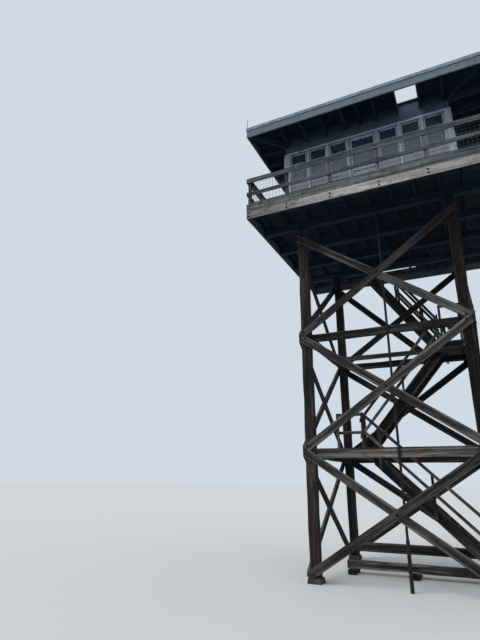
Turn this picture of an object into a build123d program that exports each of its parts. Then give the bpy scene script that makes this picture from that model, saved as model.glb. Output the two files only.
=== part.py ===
from build123d import *
import math
import os

os.makedirs("parts", exist_ok=True)

# A timber fire lookout tower: four plumb legs with cross braces on every side, a stair
# in three flights inside the legs, a square walkway and a glazed cab under a flat roof.
# Millimetres, Z up, X along the front, the front faces -Y, the footings stand on Z = 0.

# Driving sizes of the legs, braces and girts
HALF = 2134.0
LEG = 250.0
LEG_EASE = 10.0
LEG_H = 9260.0
PAD_SIZE = 350.0
PAD_H = 120.0
PAD_TAPER = 8.0
BRACE_W = 200.0
BRACE_T = 64.0
FOOT_UP = 10.0
STOREY_1 = 2870.0
STOREY_2 = 3005.0
STOREY_3 = 3135.0
MEET = 20.0
TOP_MEET = 120.0
GIRT_T = 150.0
GIRT_H = 200.0
GIRT_SET = 11.0
GIRT_UP_1 = 20.0
GIRT_UP_2 = 75.0
LOW_GIRT_UP = 120.0
LOW_GIRT_H = 260.0
PLANK_W = 240.0
PLANK_T = 40.0
STEEP_END = 900.0
STEEP_LIP = 10.0
PACKER_BEFORE = 80.0
PACKER_AFTER = 200.0
GAP = 2.0

# Driving sizes of the standpipe and of the timbers on the ground
PIPE_X = 155.0
PIPE_R = 30.0
SLEEVE_R = 42.0
SLEEVE_H = 1050.0
COUPLING_R = 39.0
COUPLING_H = 120.0
COUPLING_1 = 3700.0
COUPLING_2 = 6750.0
SILL_X0 = -1650.0
SILL_X1 = 2050.0
SILL_Y = -350.0
GROUND_SILL_W = 200.0
GROUND_SILL_H = 200.0
BEARER_W = 200.0
BEARER_L = 560.0
FOOT_BEARER_W = 360.0

# Driving sizes of the walkway
DECK_HALF = 3269.0
RIM_T = 45.0
GIRDER_W = 180.0
GIRDER_H = 237.0
JOIST_T = 50.0
JOIST_H = 191.0
JOIST_EDGE = 174.0
JOIST_COUNT = 11
BOARD_T = 45.0
OPEN_X0 = -1100.0
OPEN_X1 = 650.0
OPEN_CLEAR = 45.0

# Driving sizes of the railing
RAILING_UP = 865.0
CAP_T = 42.0
RAIL_T = 35.0
RAIL_BOARD = 108.0
MID_UP = 288.0
LOW_UP = 36.0
LOW_H = 54.0
POST = 90.0
RAIL_POST_1 = -2050.0
RAIL_POST_2 = -820.0
RAIL_POST_3 = 460.0
RAIL_POST_4 = 1640.0

# Driving sizes of the cab
CAB_HALF = 2395.0
TRIM_T = 35.0
WALL_T = 100.0
SILL_UP = 927.0
WINDOW_H = 1030.0
HEAD_H = 75.0
BAND_H = 270.0
CORNER_W = 195.0
BAY_HALF = 380.0
DOOR_STILE = 63.0
DOOR_T = 45.0
DOOR_RAIL = 100.0
DOOR_LOCK_RAIL = 150.0
DOOR_FOOT_RAIL = 200.0
DOOR_UP = 12.0
DOOR_SIDE = 12.0
DOOR_HEAD = 4.0
PANEL_SET = 14.0
HINGE_H = 90.0
HINGE_T = 10.0
HINGE_SET = 220.0
JAMB_OUT = 448.0
MULLION = 80.0
SASH_W = 50.0
SASH_T = 40.0
SASH_SET = 5.0
GLASS_T = 6.0
CEILING_T = 25.0

# Driving sizes of the roof
ROOF_HALF = 3286.0
STRIP_OUT = 16.0
STRIP_H = 100.0
STRIP_UP = 45.0
FASCIA_T = 45.0
FASCIA_H = 254.0
RAFTER_T = 50.0
RAFTER_H = 305.0
TAIL_H = 246.0
RAFTER_FIRST = 440.0
RAFTER_PITCH = 600.0
HATCH_CLEAR = 60.0
ROOF_BOARD_T = 35.0
ROOF_BLOCK_T = 40.0
BLOCK_SET = 5.0
ROD_SET = 35.0
ROD_R = 9.0
ROD_H = 300.0
ROD_TIP = 50.0
ROD_BASE_R = 30.0
ROD_BASE_H = 12.0

# Driving sizes of the stair
STAIR_W = 820.0
STAIR_SIDE = 54.0
LANE_CLEAR = 10.0
OUTER_CLEAR = 34.0
STRINGER_W = 285.0
STRINGER_T = 45.0
STRINGER_OVER = 60.0
HOUSING = 12.0
TREAD_T = 40.0
NOSE = 20.0
NOSE_EASE = 7.0
RISERS_1 = 14
RISERS_2 = 15
RISERS_3 = 16
TREAD_DEEP_1 = 230.0
TREAD_DEEP_2 = 220.0
TREAD_DEEP_3 = 190.0
TOP_1 = -850.0
FOOT_1 = 2180.0
FOOT_2 = -1450.0
TOP_2 = 1250.0
FOOT_3 = 1395.0
FOOT_CUT = 50.0
SEAT_2 = 100.0
SEAT_3 = 150.0
BEAM_T = 100.0
BEAM_H_1 = 190.0
BEAM_H_2 = 140.0
BEAM_CLEAR = 5.0
LAND_JOIST_T = 50.0
LAND_JOIST_H = 145.0
UP_JOIST_T = 60.0
UP_JOIST_H = 140.0
LAND_EDGE = 4.0
LAND_OVER = 100.0
INNER_OVER = 20.0

# Driving sizes of the stair rails
RAIL_H = 900.0
GUARD_H = 1130.0
STAIR_POST = 70.0
POST_EASE = 10.0
RAIL_W = 38.0
RAIL_D = 85.0
MID_DROP = 520.0
POST_SHORT = 60.0
POST_OVER = 30.0
POST_DOWN_1 = 330.0
POST_DOWN_2 = 100.0
POST_DOWN_3 = 150.0
LOW_POST_1 = 1900.0
LOW_POST_2 = 600.0
LOW_POST_3 = -700.0
UP_POST_1 = -1250.0
UP_POST_2 = 0.0
UP_POST_3 = 1150.0
GUARD_POST_1 = -1150.0
RAIL_PAST_1 = 100.0
MID_POST_3 = 650.0
END_3 = -100.0

# Heights that follow from them
LEG_TOP = PAD_H + LEG_H
LEVEL_0 = PAD_H + FOOT_UP
LEVEL_1 = LEVEL_0 + STOREY_1
LEVEL_2 = LEVEL_1 + STOREY_2
LEVEL_3 = LEVEL_2 + STOREY_3
GIRT_TOP_1 = LEVEL_1 + GIRT_UP_1
GIRT_TOP_2 = LEVEL_2 + GIRT_UP_2
LANDING_1 = GIRT_TOP_1 + TREAD_T
LANDING_2 = GIRT_TOP_2 + UP_JOIST_H + TREAD_T
JOIST_Z = LEG_TOP + GIRDER_H
BOARD_Z = JOIST_Z + JOIST_H
DECK_Z = BOARD_Z + BOARD_T
RIM_MID = (LEG_TOP + DECK_Z) / 2
RAIL_TOP = DECK_Z + RAILING_UP
CAP_Z = RAIL_TOP - CAP_T
SILL_Z = DECK_Z + SILL_UP
HEAD_Z = SILL_Z + WINDOW_H
HEAD_TOP = HEAD_Z + HEAD_H
WALL_TOP = HEAD_TOP + BAND_H
RAFTER_TOP = WALL_TOP + RAFTER_H
TAIL_Z = RAFTER_TOP - TAIL_H
FASCIA_LOW = RAFTER_TOP - FASCIA_H
ROOF_TOP = RAFTER_TOP + ROOF_BOARD_T + STRIP_UP
STRIP_LOW = ROOF_TOP - STRIP_H

# Lines on the plan that follow from them
LEG_MID = HALF - LEG / 2
LEG_IN = HALF - LEG
GIRT_IN = LEG_IN + GIRT_SET
GIRT_OUT = GIRT_IN + GIRT_T
RIM_IN = DECK_HALF - RIM_T
POST_OUT = DECK_HALF - RAIL_T
POST_C = POST_OUT - POST / 2
POST_AT = (RAIL_POST_1, RAIL_POST_2, RAIL_POST_3, RAIL_POST_4)
OPEN_Y0 = CAB_HALF + OPEN_CLEAR
WALL_OUT = CAB_HALF - TRIM_T
WALL_IN = WALL_OUT - WALL_T
PANE = (CAB_HALF - CORNER_W - JAMB_OUT - 2 * MULLION) / 3
MULLION_AT = (JAMB_OUT + PANE + MULLION / 2, JAMB_OUT + 2 * PANE + 1.5 * MULLION)
PANE_AT = [JAMB_OUT + PANE / 2 + k * (PANE + MULLION) for k in range(3)]
DOOR_HALF = BAY_HALF - DOOR_SIDE
DOOR_LIGHT = DOOR_HALF - DOOR_STILE
ROOF_IN = ROOF_HALF - STRIP_OUT - FASCIA_T
RAFTER_OUTER = [RAFTER_FIRST + k * RAFTER_PITCH for k in range(4)]
RAFTER_AT = [-x for x in reversed(RAFTER_OUTER)] + [0.0] + RAFTER_OUTER
EAVE = RAFTER_OUTER[3] + RAFTER_T / 2 + GAP
HATCH_X0 = RAFTER_OUTER[1] + RAFTER_T / 2
HATCH_X1 = RAFTER_OUTER[2] - RAFTER_T / 2
HATCH_IN = WALL_OUT + HATCH_CLEAR
JOIST_PITCH = 2 * (RIM_IN - JOIST_EDGE) / (JOIST_COUNT - 1)
JOIST_X = [JOIST_EDGE - RIM_IN + k * JOIST_PITCH for k in range(JOIST_COUNT)]
TRIMMER_IN = OPEN_Y0 - JOIST_T
LANE_2 = (LEG_IN - STAIR_SIDE - STAIR_W, LEG_IN - STAIR_SIDE)
LANE_1 = (LANE_2[0] - STAIR_POST - STAIR_W, LANE_2[0] - STAIR_POST)
LANE_3 = (OPEN_Y0 + LANE_CLEAR, RIM_IN - STAIR_POST - OUTER_CLEAR)
INNER_Y = LANE_1[0] - INNER_OVER
BEAM_Y = LANE_2[0] - STAIR_POST - RAIL_W - BEAM_CLEAR - BEAM_T
OUT_X = HALF - STAIR_POST

# Each flight: its lane, the ends of the line through its noses, its risers and treads
FLIGHT_1 = (LANE_1, FOOT_1, PAD_H, TOP_1, LANDING_1, RISERS_1, TREAD_DEEP_1)
FLIGHT_2 = (LANE_2, FOOT_2, LANDING_1, TOP_2, LANDING_2, RISERS_2, TREAD_DEEP_2)
FLIGHT_3 = (LANE_3, FOOT_3, LANDING_2, OPEN_X0, DECK_Z, RISERS_3, TREAD_DEEP_3)

FRONT = Plane(origin=(0, -HALF, 0), x_dir=(1, 0, 0), z_dir=(0, -1, 0))
BACK = Plane(origin=(0, HALF, 0), x_dir=(1, 0, 0), z_dir=(0, -1, 0))
LEFT = Plane(origin=(-HALF, 0, 0), x_dir=(0, 1, 0), z_dir=(1, 0, 0))
RIGHT = Plane(origin=(HALF, 0, 0), x_dir=(0, 1, 0), z_dir=(1, 0, 0))
DOOR_FACE = Plane(origin=(0, -WALL_OUT, 0), x_dir=(1, 0, 0), z_dir=(0, -1, 0))


def block(x0, x1, y0, y1, z0, z1):
    """Adds a squared timber between the given faces to the part being built."""
    with Locations(((x0 + x1) / 2, (y0 + y1) / 2, (z0 + z1) / 2)):
        Box(x1 - x0, y1 - y0, z1 - z0)


def upright(plane_y):
    """A plane that faces the front at the given depth, with X along it and Z up it."""
    return Plane(origin=(0, plane_y, 0), x_dir=(1, 0, 0), z_dir=(0, -1, 0))


def butted(out, thick, z0, z1):
    """Adds four boards round a square: the front and back ones run through."""
    inner = out - thick
    block(-out, out, -out, -inner, z0, z1)
    block(-out, out, inner, out, z0, z1)
    block(-out, -inner, -inner + GAP, inner - GAP, z0, z1)
    block(inner, out, -inner + GAP, inner - GAP, z0, z1)


def mitred(out, thick, z0, z1):
    """Adds four boards round a square that meet in mitres at the corners."""
    inner = out - thick
    with BuildSketch(Plane.XY.offset(z0)) as plan:
        with PolarLocations(0, 4):
            Polygon((GAP - out, -out), (out - GAP, -out), (inner - GAP, -inner), (GAP - inner, -inner),
                    align=None)
    extrude(plan.sketch, amount=z1 - z0)


def strip(x0, z0, x1, z1, width, mode=Mode.ADD):
    """Draws a straight bar through two points of its centre line, run well past both."""
    angle = math.degrees(math.atan2(z1 - z0, x1 - x0))
    with Locations(((x0 + x1) / 2, (z0 + z1) / 2)):
        Rectangle(math.hypot(x1 - x0, z1 - z0) + 4 * LEG, width, rotation=angle, mode=mode)


def window(x0, x1, z0, z1, mode=Mode.INTERSECT):
    """Draws an upright rectangle between the given edges."""
    with Locations(((x0 + x1) / 2, (z0 + z1) / 2)):
        Rectangle(x1 - x0, z1 - z0, mode=mode)


def cross(plane, outward, low, high, top_meet=MEET, low_end=HALF, low_cut=None):
    """Adds a cross of braces between two levels: one whole bar, and one in two halves."""
    z0 = low + MEET
    z1 = high - top_meet
    with BuildSketch(plane) as rising:
        strip(-HALF, z0, HALF, z1, BRACE_W)
        window(-HALF, HALF, low + GAP, high - GAP)
    extrude(rising.sketch, amount=outward * BRACE_T)
    with BuildSketch(plane) as falling:
        strip(-HALF, z1, low_end, z0, BRACE_W)
        window(-HALF, HALF, low + GAP if low_cut is None else low_cut, high - GAP)
        strip(-HALF, z0, HALF, z1, BRACE_W + 2 * GAP, mode=Mode.SUBTRACT)
    extrude(falling.sketch, amount=outward * BRACE_T)


# Concrete footings, narrower at the top
with BuildPart() as footings:
    with BuildSketch():
        with GridLocations(2 * LEG_MID, 2 * LEG_MID, 2, 2):
            Rectangle(PAD_SIZE, PAD_SIZE)
    extrude(amount=PAD_H, taper=PAD_TAPER)
footings.part.label = "footings"

# Four squared legs, their long edges eased
with BuildPart() as legs:
    with BuildSketch(Plane.XY.offset(PAD_H)) as squares:
        with GridLocations(2 * LEG_MID, 2 * LEG_MID, 2, 2):
            Rectangle(LEG, LEG)
        chamfer(squares.vertices(), length=LEG_EASE)
    extrude(amount=LEG_H)
legs.part.label = "legs"

# Girts between the legs at both levels, and the low one at the back
with BuildPart() as girts:
    for top in (GIRT_TOP_1, GIRT_TOP_2):
        for side in (-1, 1):
            a = min(side * GIRT_IN, side * GIRT_OUT)
            block(-LEG_IN, LEG_IN, a, a + GIRT_T, top - GIRT_H, top)
            block(a, a + GIRT_T, -LEG_IN, LEG_IN, top - GIRT_H, top)
    low_girt = PAD_H + LOW_GIRT_UP
    block(-LEG_IN, LEG_IN, GIRT_IN, GIRT_OUT, low_girt, low_girt + LOW_GIRT_H)
girts.part.label = "girts"

# Plank lying along the front girt at the first level
with BuildPart() as girt_plank:
    block(-LEG_IN, LEG_IN, -GIRT_OUT, PLANK_W - GIRT_OUT, GIRT_TOP_1, GIRT_TOP_1 + PLANK_T)
girt_plank.part.label = "girt_plank"

# Cross braces, three crosses on each side of the tower
with BuildPart() as front_braces:
    cross(FRONT, 1, LEVEL_0, LEVEL_1)
    cross(FRONT, 1, LEVEL_1, LEVEL_2)
    cross(FRONT, 1, LEVEL_2, LEVEL_3, TOP_MEET)
front_braces.part.label = "front_braces"

# The upper falling brace at the back is steeper and leaves the right bay to the stair
STEEP_CUT = GIRT_TOP_2 - GIRT_H + STEEP_LIP
with BuildPart() as back_braces:
    cross(BACK, -1, LEVEL_0, LEVEL_1)
    cross(BACK, -1, LEVEL_1, LEVEL_2)
    cross(BACK, -1, LEVEL_2, LEVEL_3, TOP_MEET, low_end=STEEP_END, low_cut=STEEP_CUT)
back_braces.part.label = "back_braces"

# Block between that brace and the girt behind it
with BuildPart() as girt_packer:
    block(STEEP_END - PACKER_BEFORE, STEEP_END + PACKER_AFTER, GIRT_OUT, HALF, STEEP_CUT, GIRT_TOP_2)
girt_packer.part.label = "girt_packer"

with BuildPart() as left_braces:
    cross(LEFT, -1, LEVEL_0, LEVEL_1)
    cross(LEFT, -1, LEVEL_1, LEVEL_2)
    cross(LEFT, -1, LEVEL_2, LEVEL_3, TOP_MEET)
left_braces.part.label = "left_braces"

with BuildPart() as right_braces:
    cross(RIGHT, 1, LEVEL_0, LEVEL_1)
    cross(RIGHT, 1, LEVEL_1, LEVEL_2)
    cross(RIGHT, 1, LEVEL_2, LEVEL_3, TOP_MEET)
right_braces.part.label = "right_braces"

# Steel standpipe up the front, clear of the girts and the braces, with its couplings
PIPE_Y = -(GIRT_OUT + HALF) / 2
with BuildPart() as standpipe:
    with BuildSketch(upright(PIPE_Y)) as half_section:
        window(PIPE_X, PIPE_X + PIPE_R, 0, LEG_TOP, mode=Mode.ADD)
        window(PIPE_X, PIPE_X + SLEEVE_R, 0, SLEEVE_H, mode=Mode.ADD)
        for z in (COUPLING_1, COUPLING_2):
            window(PIPE_X, PIPE_X + COUPLING_R, z, z + COUPLING_H, mode=Mode.ADD)
    revolve(axis=Axis((PIPE_X, PIPE_Y, 0), (0, 0, 1)))
standpipe.part.label = "standpipe"

# Timber sill along the foot of the stair, on cross bearers that lie on the ground
with BuildPart() as ground_sill:
    with Locations(((SILL_X0 + SILL_X1) / 2, SILL_Y, PAD_H)):
        Box(SILL_X1 - SILL_X0, GROUND_SILL_W, GROUND_SILL_H, align=(Align.CENTER, Align.CENTER, Align.MIN))
ground_sill.part.label = "ground_sill"

FOOT_X = HALF - FOOT_CUT
with BuildPart() as sill_bearers:
    for x in (SILL_X0 + 0.75 * BEARER_W, PIPE_X - BEARER_W / 2):
        with Locations((x, SILL_Y, PAD_H / 2)):
            Box(BEARER_W, BEARER_L, PAD_H)
    block(FOOT_X - FOOT_BEARER_W, FOOT_X, SILL_Y - BEARER_L / 2, LANE_1[1] + INNER_OVER, 0, PAD_H)
sill_bearers.part.label = "sill_bearers"

# Girders over the legs and between them, carried out to the rim as outriggers
with BuildPart() as deck_girders:
    with Locations((0, 0, LEG_TOP + GIRDER_H / 2)):
        with GridLocations(0, 2 * LEG_MID / 3, 1, 4):
            Box(2 * RIM_IN, GIRDER_W, GIRDER_H)
deck_girders.part.label = "deck_girders"

# Floor joists, cut short at a trimmer before the stair opening in the back walkway
with BuildPart() as floor_joists:
    for x in JOIST_X:
        cut = OPEN_X0 < x < OPEN_X1
        end = TRIMMER_IN - GAP if cut else RIM_IN
        block(x - JOIST_T / 2, x + JOIST_T / 2, -RIM_IN, end, JOIST_Z, BOARD_Z)
    before = max(x for x in JOIST_X if x <= OPEN_X0) + JOIST_T / 2 + GAP
    after = min(x for x in JOIST_X if x >= OPEN_X1) - JOIST_T / 2 - GAP
    block(before, after, TRIMMER_IN, OPEN_Y0, JOIST_Z, BOARD_Z)
floor_joists.part.label = "floor_joists"

# Walkway boards in panels round the cab, open over the stair
with BuildPart() as walkway_boards:
    block(-RIM_IN, RIM_IN, -RIM_IN, -CAB_HALF, BOARD_Z, DECK_Z)
    block(-RIM_IN, -CAB_HALF, -CAB_HALF + GAP, CAB_HALF - GAP, BOARD_Z, DECK_Z)
    block(CAB_HALF, RIM_IN, -CAB_HALF + GAP, CAB_HALF - GAP, BOARD_Z, DECK_Z)
    block(-RIM_IN, OPEN_X0, CAB_HALF, RIM_IN, BOARD_Z, DECK_Z)
    block(OPEN_X1, RIM_IN, CAB_HALF, RIM_IN, BOARD_Z, DECK_Z)
walkway_boards.part.label = "walkway_boards"

with BuildPart() as cab_floor:
    block(-CAB_HALF, CAB_HALF, -CAB_HALF, CAB_HALF, BOARD_Z, DECK_Z)
cab_floor.part.label = "cab_floor"

# Two rows of boards round the edge of the walkway
with BuildPart() as lower_rim_boards:
    butted(DECK_HALF, RIM_T, LEG_TOP, RIM_MID)
lower_rim_boards.part.label = "lower_rim_boards"

with BuildPart() as upper_rim_boards:
    butted(DECK_HALF, RIM_T, RIM_MID, DECK_Z)
upper_rim_boards.part.label = "upper_rim_boards"

# Railing of the walkway: posts, rail boards on their outer faces, a mitred cap, foot rails between
with BuildPart() as railing_posts:
    spots = [(x, y) for x in (-POST_C, POST_C) for y in (-POST_C, POST_C)]
    spots += [(s, y) for s in POST_AT for y in (-POST_C, POST_C)]
    spots += [(x, s) for s in POST_AT for x in (-POST_C, POST_C)]
    with Locations(*[(x, y, DECK_Z) for x, y in spots]):
        Box(POST, POST, CAP_Z - DECK_Z, align=(Align.CENTER, Align.CENTER, Align.MIN))
railing_posts.part.label = "railing_posts"

with BuildPart() as top_rails:
    mitred(DECK_HALF, RAIL_T + POST, CAP_Z, RAIL_TOP)
top_rails.part.label = "top_rails"

with BuildPart() as upper_rails:
    butted(DECK_HALF, RAIL_T, CAP_Z - RAIL_BOARD, CAP_Z)
upper_rails.part.label = "upper_rails"

with BuildPart() as mid_rails:
    butted(DECK_HALF, RAIL_T, DECK_Z + MID_UP, DECK_Z + MID_UP + RAIL_BOARD)
mid_rails.part.label = "mid_rails"

with BuildPart() as bottom_rails:
    rail_in = POST_OUT - POST
    along = (-POST_C,) + POST_AT + (POST_C,)
    for k in range(len(along) - 1):
        a = along[k] + POST / 2
        b = along[k + 1] - POST / 2
        for y0 in (-rail_in - RAIL_T, rail_in):
            block(a, b, y0, y0 + RAIL_T, DECK_Z + LOW_UP, DECK_Z + LOW_UP + LOW_H)
            block(y0, y0 + RAIL_T, a, b, DECK_Z + LOW_UP, DECK_Z + LOW_UP + LOW_H)
bottom_rails.part.label = "bottom_rails"

# Cab walls: a low wall all round, open at the door in the middle of the front
with BuildPart() as low_walls:
    block(-WALL_OUT, -BAY_HALF, -WALL_OUT, -WALL_IN, DECK_Z, SILL_Z)
    block(BAY_HALF, WALL_OUT, -WALL_OUT, -WALL_IN, DECK_Z, SILL_Z)
    block(-WALL_OUT, WALL_OUT, WALL_IN, WALL_OUT, DECK_Z, SILL_Z)
    block(-WALL_OUT, -WALL_IN, -WALL_IN + GAP, WALL_IN - GAP, DECK_Z, SILL_Z)
    block(WALL_IN, WALL_OUT, -WALL_IN + GAP, WALL_IN - GAP, DECK_Z, SILL_Z)
low_walls.part.label = "low_walls"


def wall_uprights(edge):
    """Edges along a wall of its uprights between the windows; edge is that of the middle bay."""
    right = [(edge, JAMB_OUT)]
    right += [(c - MULLION / 2, c + MULLION / 2) for c in MULLION_AT]
    return [(-b, -a) for a, b in reversed(right)] + right


# Posts between the windows, from the low wall to the head
CORNER_POST = CORNER_W - TRIM_T
with BuildPart() as window_posts:
    for y0 in (-WALL_OUT, WALL_IN):
        for a, b in wall_uprights(BAY_HALF):
            block(a, b, y0, y0 + WALL_T, SILL_Z, HEAD_Z)
            block(y0, y0 + WALL_T, a, b, SILL_Z, HEAD_Z)
    with Locations((0, 0, SILL_Z)):
        with GridLocations(2 * WALL_OUT - CORNER_POST, 2 * WALL_OUT - CORNER_POST, 2, 2):
            Box(CORNER_POST, CORNER_POST, WINDOW_H, align=(Align.CENTER, Align.CENTER, Align.MIN))
window_posts.part.label = "window_posts"

# Boards over the posts outside, down to the floor, lapped at the corners
with BuildPart() as wall_trim:
    for y0 in (-CAB_HALF, WALL_OUT):
        for a, b in wall_uprights(BAY_HALF - DOOR_SIDE / 2):
            block(a, b, y0, y0 + TRIM_T, DECK_Z, HEAD_Z)
            block(y0, y0 + TRIM_T, a, b, DECK_Z, HEAD_Z)
        for a in (-CAB_HALF, CAB_HALF - CORNER_W):
            block(a, a + CORNER_W, y0, y0 + TRIM_T, DECK_Z, HEAD_Z)
        for a in (GAP - WALL_OUT, WALL_OUT - CORNER_POST):
            block(y0, y0 + TRIM_T, a, a + CORNER_POST - GAP, DECK_Z, HEAD_Z)
wall_trim.part.label = "wall_trim"

# Head beams over the windows and the plain band up to the roof
with BuildPart() as window_heads:
    mitred(CAB_HALF, TRIM_T + WALL_T, HEAD_Z, HEAD_TOP)
window_heads.part.label = "window_heads"

with BuildPart() as wall_bands:
    butted(WALL_OUT, WALL_T, HEAD_TOP, WALL_TOP)
wall_bands.part.label = "wall_bands"

# The four walls seen from outside, the front first, and the edges of their window bays
WALL_FACES = [
    Plane(origin=(x * WALL_OUT, y * WALL_OUT, 0), x_dir=(-y, x, 0), z_dir=(x, y, 0))
    for x, y in ((0, -1), (1, 0), (0, 1), (-1, 0))
]
SIDE_BAYS = [(c - PANE / 2, c + PANE / 2) for c in PANE_AT]
FRONT_BAYS = [(-b, -a) for a, b in SIDE_BAYS] + SIDE_BAYS
WALL_BAYS = [FRONT_BAYS] + 3 * [FRONT_BAYS + [(-BAY_HALF, BAY_HALF)]]

# A sash in each window bay
with BuildPart() as window_sashes:
    for face, bays in zip(WALL_FACES, WALL_BAYS):
        with BuildSketch(face.offset(-SASH_SET)) as frames:
            for a, b in bays:
                window(a, b, SILL_Z, HEAD_Z, mode=Mode.ADD)
                window(a + SASH_W, b - SASH_W, SILL_Z + SASH_W, HEAD_Z - SASH_W, mode=Mode.SUBTRACT)
        extrude(frames.sketch, amount=-SASH_T)
window_sashes.part.label = "window_sashes"

# A pane in each sash
with BuildPart() as window_glass:
    for face, bays in zip(WALL_FACES, WALL_BAYS):
        with BuildSketch(face.offset(-SASH_SET - (SASH_T - GLASS_T) / 2)) as panes:
            for a, b in bays:
                window(a + SASH_W, b - SASH_W, SILL_Z + SASH_W, HEAD_Z - SASH_W, mode=Mode.ADD)
        extrude(panes.sketch, amount=-GLASS_T)
window_glass.part.label = "window_glass"

# Glazed door leaf in the front, standing shut, with a sunk panel below the glass
DOOR_LOW = DECK_Z + DOOR_UP
DOOR_HIGH = HEAD_Z - DOOR_HEAD
PANEL_LOW = DOOR_LOW + DOOR_FOOT_RAIL
PANEL_HIGH = SILL_Z + DOOR_LOCK_RAIL / 3 - DOOR_LOCK_RAIL
LIGHT_LOW = SILL_Z + DOOR_LOCK_RAIL / 3
LIGHT_HIGH = DOOR_HIGH - DOOR_RAIL
with BuildPart() as cab_door:
    with BuildSketch(DOOR_FACE) as leaf:
        window(-DOOR_HALF, DOOR_HALF, DOOR_LOW, DOOR_HIGH, mode=Mode.ADD)
        window(-DOOR_LIGHT, DOOR_LIGHT, LIGHT_LOW, LIGHT_HIGH, mode=Mode.SUBTRACT)
    extrude(leaf.sketch, amount=-DOOR_T)
    for face in (DOOR_FACE, DOOR_FACE.offset(PANEL_SET - DOOR_T)):
        with BuildSketch(face) as sunk:
            window(-DOOR_LIGHT, DOOR_LIGHT, PANEL_LOW, PANEL_HIGH, mode=Mode.ADD)
        extrude(sunk.sketch, amount=-PANEL_SET, mode=Mode.SUBTRACT)
cab_door.part.label = "cab_door"

# Butt hinges between the leaf and its post
with BuildPart() as door_hinges:
    for z in (DOOR_LOW + HINGE_SET, (DOOR_LOW + DOOR_HIGH) / 2, DOOR_HIGH - HINGE_SET):
        block(-BAY_HALF, -DOOR_HALF, GAP - WALL_OUT, GAP + HINGE_T - WALL_OUT,
              z - HINGE_H / 2, z + HINGE_H / 2)
door_hinges.part.label = "door_hinges"

with BuildPart() as door_glass:
    y0 = (DOOR_T - GLASS_T) / 2 - WALL_OUT
    block(-DOOR_LIGHT, DOOR_LIGHT, y0, y0 + GLASS_T, LIGHT_LOW, LIGHT_HIGH)
door_glass.part.label = "door_glass"

# Flat ceiling inside the cab
with BuildPart() as ceiling:
    block(-WALL_IN, WALL_IN, -WALL_IN, WALL_IN, WALL_TOP - CEILING_T, WALL_TOP)
ceiling.part.label = "ceiling"


def tail(inner, foot, outer):
    """Draws a rafter from inner to outer: level over the wall foot, then rising to its tail."""
    Polygon((inner, WALL_TOP), (foot, WALL_TOP), (outer, TAIL_Z), (outer, RAFTER_TOP), (inner, RAFTER_TOP),
            align=None)


# Rafters run front to back with rising tails, lookouts to the sides, a hip at each corner
with BuildPart() as rafters:
    for x in RAFTER_AT:
        side = Plane(origin=(x, 0, 0), x_dir=(0, 1, 0), z_dir=(1, 0, 0))
        with BuildSketch(side) as profile:
            tail(0, WALL_OUT, ROOF_IN)
            tail(0, -WALL_OUT, -ROOF_IN)
        extrude(profile.sketch, amount=RAFTER_T / 2, both=True)
    for y in RAFTER_AT:
        with BuildSketch(upright(y)) as profile:
            tail(EAVE, WALL_OUT, ROOF_IN)
            tail(-EAVE, -WALL_OUT, -ROOF_IN)
        extrude(profile.sketch, amount=RAFTER_T / 2, both=True)
    root = math.sqrt(2)
    for quarter in range(4):
        turn = math.radians(45 + 90 * quarter)
        ahead = (math.cos(turn), math.sin(turn), 0)
        aside = (math.sin(turn), -math.cos(turn), 0)
        with BuildSketch(Plane(origin=(0, 0, 0), x_dir=ahead, z_dir=aside)) as profile:
            tail(EAVE * root + RAFTER_T / 2, WALL_OUT * root, ROOF_IN * root - RAFTER_T / 2)
        extrude(profile.sketch, amount=RAFTER_T / 2, both=True)
rafters.part.label = "rafters"

# Blocks between the rafters over the walls
BLOCK_OUT = WALL_OUT - BLOCK_SET
with BuildPart() as roof_blocks:
    for k in range(len(RAFTER_AT) - 1):
        a = RAFTER_AT[k] + RAFTER_T / 2
        b = RAFTER_AT[k + 1] - RAFTER_T / 2
        for side in (-1, 1):
            y0 = min(side * BLOCK_OUT, side * (BLOCK_OUT - ROOF_BLOCK_T))
            block(a, b, y0, y0 + ROOF_BLOCK_T, WALL_TOP, RAFTER_TOP)
            block(y0, y0 + ROOF_BLOCK_T, a, b, WALL_TOP, RAFTER_TOP)
roof_blocks.part.label = "roof_blocks"

# Roof boards in three sheets, the middle one cut back over the hatch at the front edge
BOARDS_TOP = RAFTER_TOP + ROOF_BOARD_T
with BuildPart() as roof_deck:
    block(-ROOF_IN, HATCH_X0, -ROOF_IN, ROOF_IN, RAFTER_TOP, BOARDS_TOP)
    block(HATCH_X0 + GAP, HATCH_X1 - GAP, -HATCH_IN, ROOF_IN, RAFTER_TOP, BOARDS_TOP)
    block(HATCH_X1, ROOF_IN, -ROOF_IN, ROOF_IN, RAFTER_TOP, BOARDS_TOP)
roof_deck.part.label = "roof_deck"

# Mitred fascia boards with a thin strip along their top
with BuildPart() as fascia:
    mitred(ROOF_HALF - STRIP_OUT, FASCIA_T, FASCIA_LOW, STRIP_LOW - GAP)
fascia.part.label = "fascia"

with BuildPart() as roof_edge_strip:
    mitred(ROOF_HALF, FASCIA_T + STRIP_OUT, STRIP_LOW, ROOF_TOP)
roof_edge_strip.part.label = "roof_edge_strip"

# Lightning rod on the front left corner of the roof, turned in one piece with its foot
ROD_AT = ROD_SET - ROOF_HALF
with BuildPart() as lightning_rod:
    with BuildSketch(upright(ROD_AT)) as half_section:
        with Locations((ROD_AT, ROOF_TOP)):
            Polygon((0, 0), (ROD_BASE_R, 0), (ROD_BASE_R, ROD_BASE_H), (ROD_R, ROD_BASE_H), (ROD_R, ROD_H),
                    (0, ROD_H + ROD_TIP), align=None)
    revolve(axis=Axis((ROD_AT, ROD_AT, 0), (0, 0, 1)))
lightning_rod.part.label = "lightning_rod"


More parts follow.
